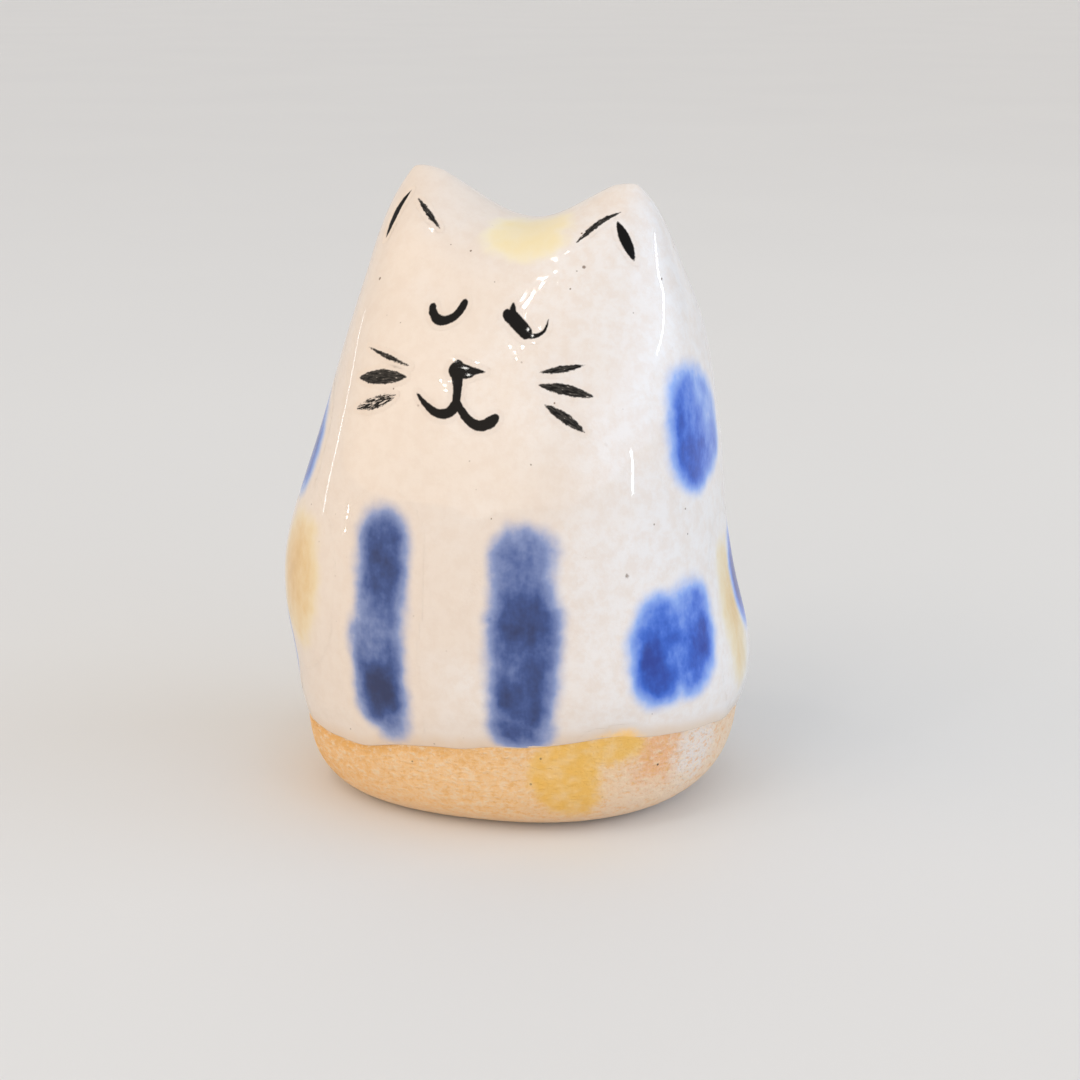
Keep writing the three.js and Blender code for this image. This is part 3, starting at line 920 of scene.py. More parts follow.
@dataclass(frozen=True)
class FloorFinish:
    """Plain pale studio floor, matt, with the faintest cloud in it."""

    pale: Colour = (0.79, 0.785, 0.775)
    shade: Colour = (0.76, 0.755, 0.75)
    roughness: float = 0.8
    specular: float = 0.2

    def material(self) -> bpy.types.Material:
        """Makes the floor's material.

        Returns:
            The material.
        """
        recipe = Recipe("studio_floor")
        soft = recipe.cloud(recipe.position(), 0.012, 2.0)
        recipe.feed(recipe.shader.inputs["Base Color"], recipe.blend(soft, self.pale, self.shade))
        recipe.gloss(self.roughness)
        recipe.shader.inputs["Specular IOR Level"].default_value = self.specular
        return recipe.material


# ---------- the pinched body and its coat ----------


@dataclass
class ClayBody:
    """The hollow pinched body, of which the bare foot and the hollow stay in view."""

    line: GlazeLine
    finish: BareClayFinish
    levels: int = 2
    waver: float = 0.09
    waver_length: float = 5.0
    even_below: float = 3.0
    table_tolerance: float = 0.01
    ear_height: float = 0.9
    ear_softening: int = 3

    def build(self) -> bpy.types.Object:
        """Rounds the CAD body, roughens it by hand and dresses it.

        Returns:
            The finished body.
        """
        piece = Bench.merged_copy("clay_body", "pinched_body")
        Bench.soften_above(piece, self.ear_height * self.line.measure.height, self.ear_softening)
        self.hold_foot_flat(piece)
        Bench.subdivide_smooth(piece, self.levels)
        self.pinch(piece)
        Bench.shade(piece, 60.0)
        Bench.write_reading(piece, "line_mm", self.line.above(Bench.points_of(piece)))
        Bench.hand_over(piece, "clay_body", "clay", self.finish.material())
        return piece

    def hold_foot_flat(self, piece: bpy.types.Object) -> None:
        """Creases the edges of the ring that the figure stands on, so that rounding leaves it on the table.

        Args:
            piece: The body, before it is rounded.
        """
        low = Bench.points_of(piece)[:, 2] < self.table_tolerance
        ends = np.array([edge.vertices[:] for edge in piece.data.edges])
        on_table = low[ends[:, 0]] & low[ends[:, 1]]
        crease = piece.data.attributes.new("crease_edge", "FLOAT", "EDGE")
        crease.data.foreach_set("value", on_table.astype(float))

    def pinch(self, piece: bpy.types.Object) -> None:
        """Adds the shallow unevenness that fingers leave, none of it at the foot's flat ring.

        Args:
            piece: The rounded body.
        """
        points, normals = Bench.points_of(piece), Bench.normals_of(piece)
        lift = np.clip(points[:, 2] / self.even_below, 0.0, 1.0)
        waver = np.array([noise.noise(Vector(p) / self.waver_length) for p in points])
        Bench.set_points(piece, points + normals * (waver * self.waver * lift)[:, None])


@dataclass
class GlazeCoat:
    """The dipped coat: a shell over the body that thins towards its wavering rolled edge."""

    line: GlazeLine
    finish: GlazeFinish
    dents: float = 0.11
    dent_length: float = 6.5
    dent_start: Triple = (3.1, 0.7, 5.2)
    small_dents: float = 0.35
    small_length: float = 0.45
    thinning: float = 0.34
    thinning_reach: float = 2.6
    waver_reach: float = 4.0
    ear_height: float = 0.9
    ear_softening: int = 3

    def build(self) -> bpy.types.Object:
        """Rounds the CAD coat, works its edge and dresses it.

        Returns:
            A plain copy of the finished coat to lay brush marks on, which is thrown away afterwards.
        """
        piece = Bench.merged_copy("glaze_coat", "dipped_coat")
        Bench.soften_above(piece, self.ear_height * self.line.measure.height, self.ear_softening)
        Bench.subdivide_smooth(piece, 1)
        self.work_edge(piece)
        self.dent(piece)
        Bench.subdivide_smooth(piece, 1)
        Bench.shade(piece, 70.0)
        guide = bpy.data.objects.new("laying_guide", piece.data.copy())
        bpy.context.scene.collection.objects.link(guide)
        Bench.write_reading(piece, "line_mm", self.line.above(Bench.points_of(piece)))
        Bench.hand_over(piece, "glaze_coat", "glaze", self.finish.material())
        return guide

    def work_edge(self, piece: bpy.types.Object) -> None:
        """Lets the edge waver, and draws the coat in towards the clay over its last few millimetres.

        Args:
            piece: The coat.
        """
        points = Bench.points_of(piece)
        above = points[:, 2] - self.line.even(points)
        near = 1.0 - np.clip(above / self.thinning_reach, 0.0, 1.0)
        near = near * near * (3 - 2 * near)
        points[:, :2] -= self.line.measure.outward(points) * (self.thinning * near)[:, None]
        fall = 1.0 - np.clip(above / self.waver_reach, 0.0, 1.0)
        points[:, 2] += self.line.waver(points) * fall
        Bench.set_points(piece, points)

    def dent(self, piece: bpy.types.Object) -> None:
        """Adds the shallow dents and swellings of a hand-pinched form.

        Args:
            piece: The coat.
        """
        points = Bench.points_of(piece)
        start, small_length = Vector(self.dent_start), self.dent_length * self.small_length
        broad = np.array([noise.noise(Vector(p) / self.dent_length + start) for p in points])
        small = np.array([noise.noise(Vector(p) / small_length) for p in points])
        amount = self.dents * broad + self.dents * self.small_dents * small
        points[:, :2] += self.line.measure.outward(points) * amount[:, None]
        Bench.set_points(piece, points)


# ---------- brush marks ----------


class Canvas(Enum):
    """The flat view in which a mark is drawn: its across and up directions, and the heights it spans."""

    FRONT = ((1, 0, 0), (0, 0, 1), 0.17, 1.0)
    LEFT = ((0, 1, 0), (0, 0, 1), 0.17, 1.0)
    LEFT_FLANK = ((1, 1, 0), (0, 0, 1), 0.17, 1.0)
    RIGHT_FLANK = ((1, -1, 0), (0, 0, 1), 0.17, 1.0)
    BROW = ((1, 0, 0), (0, 1, 1), 0.0, 1.0)
    FOOT = ((1, 0, 0), (0, 0, 1), 0.0, 0.122)

    @property
    def axes(self) -> Matrix:
        """Gives the canvas's directions.

        Returns:
            A matrix whose columns are the across, up and outward directions.
        """
        across = Vector(self.value[0]).normalized()
        up = Vector(self.value[1]).normalized()
        return Matrix((across, up, across.cross(up))).transposed()

    def spot(self, measure: Measure, across: float, up: float) -> tuple[float, float]:
        """Turns shares of the figure into millimetres on the canvas.

        Args:
            measure: The figure's measure.
            across: Share of the half width.
            up: Share of the way up the canvas.

        Returns:
            The place, from the figure's axis.
        """
        low, high = self.value[2:]
        return across * measure.half_width, (low + (high - low) * up) * measure.height


class Nib(Enum):
    """How a stroke's width runs along its length."""

    BLUNT = "blunt"
    ROUND = "round"
    OVAL = "oval"
    POINTED = "pointed"
    TAPERING = "tapering"
    FLICKED = "flicked"
    HEAVY_END = "heavy_end"

    def share(self, t: np.ndarray) -> np.ndarray:
        """Gives the width along the stroke.

        Args:
            t: Shares of the way along it, from 0 to 1.

        Returns:
            The width at each of them, as a share of the stroke's full width.
        """
        shapes = {
            Nib.BLUNT: lambda: np.ones_like(t),
            Nib.ROUND: lambda: np.sqrt(np.clip(1 - (2 * t - 1) ** 4, 0, 1)),
            Nib.OVAL: lambda: np.sqrt(np.clip(1 - (2 * t - 1) ** 2, 0, 1)),
            Nib.POINTED: lambda: np.sin(math.pi * t) ** 0.8,
            Nib.TAPERING: lambda: np.sqrt(np.clip(t * 8, 0, 1)) * (1 - t) ** 0.5,
            Nib.FLICKED: lambda: np.clip(t * 5, 0, 1) ** 0.7 * (1 - t) ** 0.9,
            Nib.HEAVY_END: lambda: (0.5 + 0.5 * t) * np.sqrt(np.clip((1 - t) * 7, 0, 1)),
        }
        return shapes[self]()


@dataclass(frozen=True)
class Stroke:
    """One touch of the brush: its full width in millimetres, its nib, and its path in shares of the figure."""

    width: float
    nib: Nib
    path: tuple[tuple[float, float], ...]

    def trail(
        self, canvas: Canvas, measure: Measure, samples: int = 48, per_span: int = 16, tip: float = 0.03
    ) -> np.ndarray:
        """Walks the stroke's centre line, a smooth curve through the points of its path.

        Args:
            canvas: What it is drawn on.
            measure: The figure's measure.
            samples: How many places to walk through.
            per_span: How many places between two points of the path the curve is worked out at.
            tip: The half width at the stroke's very ends.

        Returns:
            One row for each place: across, up, half width and distance run, all in millimetres.
        """
        knots = np.array([canvas.spot(measure, *point) for point in self.path])
        padded = np.vstack([2 * knots[0] - knots[1], knots, 2 * knots[-1] - knots[-2]])
        dense = []
        for k in range(len(knots) - 1):
            a, b, c, d = padded[k:k + 4]
            for t in np.linspace(0, 1, per_span, endpoint=False):
                dense.append(0.5 * (2 * b + (c - a) * t + (2 * a - 5 * b + 4 * c - d) * t ** 2
                                    + (3 * b - a - 3 * c + d) * t ** 3))
        dense = np.array([*dense, knots[-1]])
        run = np.concatenate([[0.0], np.cumsum(np.linalg.norm(np.diff(dense, axis=0), axis=1))])
        at = np.linspace(0, run[-1], samples)
        across, up = (np.interp(at, run, dense[:, axis]) for axis in (0, 1))
        to_end = np.minimum(at, run[-1] - at) + tip
        half = np.minimum(self.width / 2 * self.nib.share(at / run[-1]), to_end)
        return np.column_stack([across, up, half, at])


@dataclass(frozen=True)
class Pool:
    """Where a wash settled darker, or lighter where its strength is below 0. Its radius is in millimetres."""

    across: float
    up: float
    radius: float
    strength: float


def ink_under(points: np.ndarray, trails: list[np.ndarray]) -> tuple[np.ndarray, np.ndarray]:
    """Measures how far inside a set of strokes each point of a canvas lies.

    Args:
        points: One row for each point, in millimetres on the canvas.
        trails: The strokes' trails.

    Returns:
        The distance inside the nearest stroke's edge, negative outside, and that stroke's run and side.
    """
    best = np.full(len(points), -np.inf)
    where = np.zeros((len(points), 3))
    for trail in trails:
        start, step = trail[:-1, :2], np.diff(trail[:, :2], axis=0)
        length = np.maximum((step ** 2).sum(axis=1), 1e-9)
        offset = points[:, None, :] - start[None]
        t = np.clip((offset * step).sum(axis=2) / length, 0, 1)
        gap = offset - t[..., None] * step
        distance = np.linalg.norm(gap, axis=2)
        half = trail[:-1, 2] + t * np.diff(trail[:, 2])
        inside = half - distance
        pick = inside.argmax(axis=1)
        row = np.arange(len(points))
        side = np.sign(step[pick, 0] * gap[row, pick, 1] - step[pick, 1] * gap[row, pick, 0])
        run = trail[pick, 3] + t[row, pick] * np.sqrt(length[pick])
        better = inside[row, pick] > best
        best[better] = inside[row, pick][better]
        where[better, 0] = run[better]
        where[better, 1] = (side * distance[row, pick])[better]
    return best, where


@dataclass
class BrushMark:
    """One brushed mark: a thin closed film laid on the coat or the clay, with its ink at every vertex."""

    node: str
    canvas: Canvas
    strokes: tuple[Stroke, ...]
    spacing: float = 0.09
    margin: float = 0.4
    lift: float = 0.01
    thickness: float = 0.12
    overlap: float = 0.5
    joined: tuple[Stroke, ...] = ()
    pools: tuple[Pool, ...] = ()
    neighbours: tuple["BrushMark", ...] = ()
    covering: tuple["BrushMark", ...] = ()
    beneath: tuple["BrushMark", ...] = ()

    def build(self, measure: Measure, line: GlazeLine, guide: bpy.types.Object) -> bpy.types.Object:
        """Makes the film from a flat grid, trims it to the stroke and lays it on the surface.

        Args:
            measure: The figure's measure.
            line: The glaze line.
            guide: The smooth surface that the film is laid on.

        Returns:
            The film, not dressed yet.
        """
        trails = [stroke.trail(self.canvas, measure) for stroke in self.strokes]
        film = self.flat_grid(measure, trails)
        self.trim(film, measure, trails, guide)
        Bench.finish_with(
            film, "SHRINKWRAP", target=guide, wrap_method="PROJECT", wrap_mode="ABOVE_SURFACE",
            use_project_z=True, use_negative_direction=True, use_positive_direction=False,
            offset=self.lift * MM,
        )
        Bench.take(film)
        bpy.ops.object.transform_apply(location=True, rotation=True, scale=True)
        Bench.finish_with(film, "SOLIDIFY", thickness=self.thickness * MM, offset=-1.0)
        Bench.shade(film, 50.0)
        normals = self.follow_surface(film, guide)
        self.measure_ink(film, measure, line, normals)
        return film

    def follow_surface(self, film: bpy.types.Object, guide: bpy.types.Object) -> np.ndarray:
        """Gives the film the surface's own normals, so that the light crosses its border without a break.

        Args:
            film: The laid film.
            guide: The surface that it is laid on.

        Returns:
            The surface's normal at each of the film's vertices.
        """
        mesh, ground = film.data, guide.data
        normals = []
        for vertex in mesh.vertices:
            _, place, _, face = guide.closest_point_on_mesh(vertex.co)
            corners = [ground.vertices[index] for index in ground.polygons[face].vertices]
            shares = poly_3d_calc([corner.co for corner in corners], place)
            normal = Vector((0.0, 0.0, 0.0))
            for share, corner in zip(shares, corners):
                normal += corner.normal * share
            normals.append(normal.normalized())
        turned = []
        for polygon in mesh.polygons:
            for index in polygon.vertices:
                facing = -1.0 if polygon.normal.dot(normals[index]) < -0.5 else 1.0
                turned.append(normals[index] * facing)
        mesh.normals_split_custom_set(turned)
        return np.array([tuple(normal) for normal in normals])

    def ink_at(
        self, places: np.ndarray, normals: np.ndarray, measure: Measure,
    ) -> tuple[np.ndarray, np.ndarray]:
        """Measures this mark's own strokes at places on the surface.

        Args:
            places: One row for each place, in millimetres.
            normals: The surface's normals there.
            measure: The figure's measure.

        Returns:
            How deep inside the mark each place lies, far outside where the surface faces away from the mark's
            canvas, and how much colour the pools add there.
        """
        flat = self.on_canvas(places, measure)
        ink, _ = ink_under(flat, [stroke.trail(self.canvas, measure) for stroke in self.strokes])
        faces_away = normals @ np.array(self.canvas.axes.col[2]) < FACING_LIMIT
        return np.where(faces_away, FAR_OUTSIDE, ink), self.load_at(flat, measure)

    def load_at(self, flat: np.ndarray, measure: Measure) -> np.ndarray:
        """Measures the pools.

        Args:
            flat: One row for each point on the canvas, in millimetres.
            measure: The figure's measure.

        Returns:
            How much colour the pools add, or take away where it is below 0.
        """
        load = np.zeros(len(flat))
        for pool in self.pools:
            centre = np.array(self.canvas.spot(measure, pool.across, pool.up))
            load += pool.strength * np.exp(-((flat - centre) ** 2).sum(axis=1) / pool.radius ** 2)
        return load

    def on_canvas(self, places: np.ndarray, measure: Measure) -> np.ndarray:
        """Returns points in space, in millimetres, as points on the canvas."""
        axes = np.array(self.canvas.axes)
        return (places - np.array([*measure.axis])) @ axes[:, :2]

    def flat_grid(self, measure: Measure, trails: list[np.ndarray]) -> bpy.types.Object:
        """Adds a grid in front of the figure, just large enough for the strokes.

        Args:
            measure: The figure's measure.
            trails: The strokes' trails.

        Returns:
            The grid, which faces out along the canvas's outward direction.
        """
        walk = np.vstack(trails)
        low = (walk[:, :2] - walk[:, 2:3]).min(axis=0) - self.margin
        high = (walk[:, :2] + walk[:, 2:3]).max(axis=0) + self.margin
        size, middle = high - low, (high + low) / 2
        axes = self.canvas.axes
        place = measure.axis + axes @ Vector((middle[0], middle[1], 2 * measure.height))
        counts = [max(4, int(round(extent / self.spacing))) for extent in size]
        bpy.ops.object.select_all(action="DESELECT")
        bpy.ops.mesh.primitive_grid_add(x_subdivisions=counts[0], y_subdivisions=counts[1], size=1.0)
        film = bpy.context.active_object
        film.name = f"brushed_{self.node}"
        scale = Matrix.Diagonal((size[0] * MM, size[1] * MM, MM, 1.0))
        film.matrix_world = Matrix.Translation(place * MM) @ axes.to_4x4() @ scale
        bpy.ops.object.transform_apply(location=False, rotation=False, scale=True)
        return film

    def trim(
        self, film: bpy.types.Object, measure: Measure, trails: list[np.ndarray], guide: bpy.types.Object,
    ) -> None:
        """Cuts away what misses the surface or the strokes, or lies in a neighbour or under a covering mark.

        Args:
            film: The flat grid.
            measure: The figure's measure.
            trails: The strokes' trails.
            guide: The surface that the film will be laid on.
        """
        places = np.array([film.matrix_world @ vertex.co for vertex in film.data.vertices]) / MM
        ink, _ = ink_under(self.on_canvas(places, measure), trails)
        outward = self.canvas.axes.col[2]
        drop = ink < -self.margin
        hits, normals = places.copy(), np.zeros_like(places)
        for index in np.flatnonzero(~drop):
            hit, place, normal, _ = guide.ray_cast(Vector(places[index]) * MM, -outward)
            drop[index] = not hit or normal.dot(outward) < FACING_LIMIT
            hits[index], normals[index] = place / MM, normal
        for neighbour in self.neighbours:
            drop |= neighbour.ink_at(hits, normals, measure)[0] > ink
        for mark in self.covering:
            drop |= mark.ink_at(hits, normals, measure)[0] > self.overlap - mark.margin
        Bench.select_points(film, drop)
        bpy.ops.mesh.delete(type="VERT")
        bpy.ops.object.mode_set(mode="OBJECT")

    def measure_ink(
        self, film: bpy.types.Object, measure: Measure, line: GlazeLine, normals: np.ndarray,
    ) -> None:
        """Writes on every vertex how deep in the ink it lies, and where along the stroke.

        Args:
            film: The laid film.
            measure: The figure's measure.
            line: The glaze line.
            normals: The surface's normal at each of the film's vertices.
        """
        points = Bench.points_of(film)
        flat = self.on_canvas(points, measure)
        trails = [stroke.trail(self.canvas, measure) for stroke in (*self.strokes, *self.joined)]
        ink, where = ink_under(flat, trails)
        Bench.write_reading(film, "ink_mm", ink)
        Bench.write_reading(film, "stroke_mm", where)
        Bench.write_reading(film, "load", self.load_at(flat, measure))
        if self.beneath:
            under, load = np.full(len(points), FAR_OUTSIDE), np.zeros(len(points))
            for mark in self.beneath:
                its_ink, its_load = mark.ink_at(points, normals, measure)
                under, load = np.maximum(under, its_ink), load + its_load
            Bench.write_reading(film, "beneath_mm", under)
            Bench.write_reading(film, "beneath_load", load)
        Bench.write_reading(film, "line_mm", line.above(points))


@dataclass
class Painting:
    """A set of marks in one colour. Its sub-classes hold the marks as fields."""

    measure: Measure
    line: GlazeLine
    guide: bpy.types.Object

    def lay(self, mark: BrushMark, slot: str, material: bpy.types.Material) -> None:
        """Builds one mark and dresses it.

        Args:
            mark: The mark.
            slot: The record's material slot.
            material: What the mark is finished in.
        """
        film = mark.build(self.measure, self.line, self.guide)
        Bench.hand_over(film, mark.node, slot, material)


NOSE = (
    Stroke(1.45, Nib.FLICKED, ((-0.08, 0.6575), (-0.01, 0.657), (0.078, 0.6575))),
    Stroke(1.1, Nib.TAPERING, ((-0.045, 0.6735), (-0.043, 0.652), (-0.03, 0.612))),
    Stroke(0.85, Nib.OVAL, ((-0.06, 0.665), (-0.02, 0.655), (0.03, 0.654))),
)
MOUTH = (
    Stroke(0.66, Nib.BLUNT, ((-0.034, 0.652), (-0.03, 0.63), (-0.031, 0.592))),
    Stroke(0.9, Nib.TAPERING, (
        (-0.02, 0.61), (-0.046, 0.59), (-0.082, 0.583), (-0.124, 0.587), (-0.163, 0.598), (-0.207, 0.615),
    )),
    Stroke(0.95, Nib.HEAVY_END, (
        (-0.04, 0.615), (-0.008, 0.594), (0.032, 0.576), (0.0735, 0.568), (0.114, 0.5725), (0.153, 0.587),
    )),
)


@dataclass
class FacePainting(Painting):
    """The closed eyes, nose, mouth and six whiskers, in black line."""

    wet: tuple[BrushMark, ...] = (
        BrushMark("right_eye", Canvas.FRONT, (
            Stroke(0.62, Nib.BLUNT, (
                (-0.204, 0.763), (-0.192, 0.746), (-0.152, 0.737), (-0.108, 0.741), (-0.08, 0.753),
                (-0.06, 0.772),
            )),
            Stroke(0.72, Nib.OVAL, ((-0.2, 0.757), (-0.18, 0.741), (-0.145, 0.736), (-0.1, 0.741))),
        )),
        BrushMark("left_eye", Canvas.FRONT, (
            Stroke(0.75, Nib.TAPERING, ((0.152, 0.744), (0.143, 0.756), (0.138, 0.771))),
            Stroke(0.95, Nib.ROUND, ((0.122, 0.757), (0.157, 0.7435), (0.194, 0.7305), (0.232, 0.7165))),
            Stroke(0.7, Nib.OVAL, ((0.112, 0.759), (0.125, 0.75), (0.15, 0.74))),
            Stroke(0.4, Nib.TAPERING, ((0.215, 0.7185), (0.253, 0.719), (0.285, 0.728), (0.293, 0.747))),
        )),
        BrushMark("nose", Canvas.FRONT, NOSE, lift=0.016, joined=MOUTH),
        BrushMark("mouth", Canvas.FRONT, MOUTH, joined=NOSE),
    )
    dragged: tuple[BrushMark, ...] = (
        BrushMark("right_whisker_1", Canvas.FRONT, (
            Stroke(0.32, Nib.POINTED, ((-0.476, 0.678), (-0.3535, 0.667), (-0.25, 0.657))),
        )),
        BrushMark("right_whisker_2", Canvas.FRONT, (
            Stroke(1.05, Nib.POINTED, ((-0.503, 0.624), (-0.379, 0.634), (-0.26, 0.639))),
        )),
        BrushMark("left_whisker_1", Canvas.FRONT, (
            Stroke(0.48, Nib.POINTED, ((0.292, 0.6605), (0.3805, 0.6665), (0.466, 0.673))),
        )),
        BrushMark("left_whisker_2", Canvas.FRONT, (
            Stroke(0.74, Nib.POINTED, ((0.296, 0.64), (0.4027, 0.633), (0.512, 0.62))),
        )),
        BrushMark("left_whisker_3", Canvas.FRONT, (
            Stroke(0.66, Nib.POINTED, ((0.329, 0.6085), (0.4114, 0.5865), (0.494, 0.56))),
        )),
    )
    dry: tuple[BrushMark, ...] = (
        BrushMark("right_whisker_3", Canvas.FRONT, (
            Stroke(0.85, Nib.POINTED, ((-0.495, 0.572), (-0.395, 0.5887), (-0.3, 0.607))),
        )),
    )

    def build(self, black: BlackLineFinish) -> None:
        """Brushes the whole face.

        Args:
            black: The line's finish.
        """
        kinds = ((self.wet, Dryness.WET), (self.dragged, Dryness.DRAGGED), (self.dry, Dryness.DRY))
        for marks, dryness in kinds:
            material = black.material(dryness)
            for mark in marks:
                self.lay(mark, "black_line", material)


@dataclass
class EarPainting(Painting):
    """Two strokes in each ear, in black line."""

    lift: float = 0.014
    wet: tuple[BrushMark, ...] = (
        BrushMark("right_ear_line_1", Canvas.BROW, (
            Stroke(0.58, Nib.POINTED, ((-0.426, 0.643), (-0.468, 0.61), (-0.503, 0.562))),
        )),
        BrushMark("left_ear_line_2", Canvas.BROW, (
            Stroke(0.85, Nib.POINTED, ((0.485, 0.605), (0.533, 0.576), (0.578, 0.548))),
        )),
    )
    dragged: tuple[BrushMark, ...] = (
        BrushMark("right_ear_line_2", Canvas.BROW, (
            Stroke(0.46, Nib.POINTED, ((-0.382, 0.624), (-0.31, 0.593), (-0.242, 0.566))),
        )),
        BrushMark("left_ear_line_1", Canvas.BROW, (
            Stroke(0.5, Nib.POINTED, ((0.492, 0.622), (0.42, 0.599), (0.343, 0.556))),
        )),
    )

    def build(self, black: BlackLineFinish, crown: BrushMark, crown_yellow: WashFinish) -> None:
        """Brushes the ears.

        Args:
            black: The line's finish.
            crown: The patch between the ears, which lies beneath the lines' inner ends.
            crown_yellow: That patch's finish.
        """
        for marks, dryness in ((self.wet, Dryness.WET), (self.dragged, Dryness.DRAGGED)):
            material = black.material(dryness, crown_yellow)
            material.name = f"black_ear_line_{dryness.name.lower()}"
            for mark in marks:
                mark.lift, mark.beneath = self.lift, (crown,)
                self.lay(mark, "black_line", material)


@dataclass
class BlueWashes(Painting):
    """The two stripes down the chest and the spots round the flanks, in cobalt wash."""

    spacing: float = 0.22
    margin: float = 1.7
    lift: float = 0.008
    marks: tuple[BrushMark, ...] = (
        BrushMark("right_stripe", Canvas.FRONT, (
            Stroke(4.0, Nib.BLUNT, (
                (-0.322, 0.408), (-0.317, 0.32), (-0.325, 0.22), (-0.348, 0.15), (-0.32, 0.06), (-0.3, -0.01),
            )),
            Stroke(2.6, Nib.BLUNT, ((-0.34, 0.4), (-0.31, 0.2), (-0.29, 0.04), (-0.272, -0.028))),
        ), pools=(
            Pool(-0.318, 0.31, 2.1, 0.16), Pool(-0.32, 0.07, 2.2, 0.3), Pool(-0.255, 0.208, 1.5, -0.08),
            Pool(-0.4, 0.2, 1.6, -0.2), Pool(-0.36, 0.145, 1.5, -0.14), Pool(-0.27, -0.02, 1.7, -0.24),
            Pool(-0.35, 0.41, 1.6, -0.2),
        )),
        BrushMark("left_stripe", Canvas.FRONT, (
            Stroke(4.4, Nib.BLUNT, ((0.29, 0.398), (0.284, 0.33), (0.292, 0.2), (0.288, 0.1), (0.278, -0.022))),
            Stroke(5.0, Nib.BLUNT, ((0.286, 0.285), (0.292, 0.17), (0.286, 0.05))),
            Stroke(0.8, Nib.OVAL, ((0.21, 0.21), (0.148, 0.232))),
        ), pools=(
            Pool(0.3, 0.37, 2.8, -0.16), Pool(0.32, 0.22, 2.4, 0.12), Pool(0.31, 0.09, 2.2, 0.12),
            Pool(0.28, -0.02, 1.4, -0.1), Pool(0.2, 0.14, 1.6, -0.14), Pool(0.4, 0.3, 1.6, -0.14),
        )),
        BrushMark("left_shoulder_spot", Canvas.LEFT, (
            Stroke(6.4, Nib.OVAL, ((-0.19, 0.655), (-0.21, 0.54), (-0.275, 0.43))),
            Stroke(6.0, Nib.BLUNT, ((-0.15, 0.62), (-0.1, 0.53), (-0.15, 0.45))),
        ), pools=(Pool(-0.28, 0.5, 2.4, 0.12), Pool(-0.04, 0.56, 2.8, -0.26), Pool(-0.16, 0.65, 2.2, -0.24))),
        BrushMark("left_back_spot", Canvas.LEFT, (
            Stroke(5.6, Nib.BLUNT, ((0.255, 0.3), (0.255, 0.205), (0.26, 0.11))),
        ), pools=(Pool(0.19, 0.2, 2.2, 0.3),)),
        BrushMark("left_haunch_spot", Canvas.LEFT_FLANK, (
            Stroke(5.2, Nib.BLUNT, ((0.23, 0.255), (0.175, 0.16), (0.175, 0.058))),
            Stroke(5.4, Nib.BLUNT, ((0.3, 0.268), (0.33, 0.18), (0.3, 0.07))),
        ), pools=(
            Pool(0.12, 0.13, 2.0, 0.24), Pool(0.42, 0.15, 1.6, 0.2), Pool(0.26, 0.14, 1.3, -0.16),
            Pool(0.28, 0.28, 2.4, -0.32), Pool(0.24, 0.04, 1.3, -0.05),
        )),
        BrushMark("right_shoulder_spot", Canvas.RIGHT_FLANK, (
            Stroke(5.6, Nib.BLUNT, ((-0.325, 0.57), (-0.325, 0.48), (-0.335, 0.385))),
        ), pools=(Pool(-0.28, 0.47, 2.0, 0.15),)),
        BrushMark("right_haunch_spot", Canvas.RIGHT_FLANK, (
            Stroke(5.6, Nib.BLUNT, ((-0.41, 0.15), (-0.415, 0.005))),
        ), pools=(Pool(-0.4, 0.06, 2.2, 0.25),)),
    )

    def build(
        self, stripe_blue: WashFinish, spot_blue: WashFinish, patches: tuple[BrushMark, ...],
    ) -> None:
        """Brushes the stripes and spots.

        Args:
            stripe_blue: The stripes' finish.
            spot_blue: The spots' brighter finish.
            patches: The yellow patches that lie beneath them.
        """
        stripe_material, spot_material = stripe_blue.material(), spot_blue.material()
        for mark in self.marks:
            mark.spacing, mark.margin, mark.lift = self.spacing, self.margin, self.lift
            mark.neighbours = tuple(other for other in self.marks if other is not mark)
            mark.beneath = patches
            on_chest = mark.canvas is Canvas.FRONT
            self.lay(mark, "blue_wash", stripe_material if on_chest else spot_material)


@dataclass
class YellowPatches(Painting):
    """The pale patch between the ears and one on each haunch, in yellow wash."""

    spacing: float = 0.22
    margin: float = 2.2
    lift: float = 0.007
    crown: BrushMark = field(default_factory=lambda: BrushMark("crown_patch", Canvas.BROW, (
        Stroke(3.7, Nib.BLUNT, ((-0.05, 0.57), (0.1, 0.56), (0.28, 0.568))),
        Stroke(2.8, Nib.BLUNT, ((-0.03, 0.61), (0.14, 0.6), (0.3, 0.603))),
    )))
    haunches: tuple[BrushMark, ...] = (
        BrushMark("right_haunch_patch", Canvas.RIGHT_FLANK, (
            Stroke(6.4, Nib.BLUNT, ((-0.19, 0.36), (-0.15, 0.25), (-0.15, 0.11))),
        ), pools=(Pool(-0.2, 0.25, 3.0, 0.3),)),
        BrushMark("left_haunch_patch", Canvas.LEFT, (
            Stroke(4.2, Nib.BLUNT, ((0.05, 0.3), (0.0, 0.17), (-0.04, 0.03))),
        ), pools=(Pool(0.02, 0.17, 2.0, 0.2),)),
    )

    def build(self, pale: WashFinish, ochre: WashFinish, blues: tuple[BrushMark, ...]) -> None:
        """Brushes the patches.

        Args:
            pale: The crown's finish.
            ochre: The haunches' stronger finish.
            blues: The blue marks, which cover parts of the patches.
        """
        for marks, material in (((self.crown,), pale.material()), (self.haunches, ochre.material())):
            for mark in marks:
                mark.spacing, mark.margin, mark.lift = self.spacing, self.margin, self.lift
                mark.covering = blues
                self.lay(mark, "yellow_wash", material)


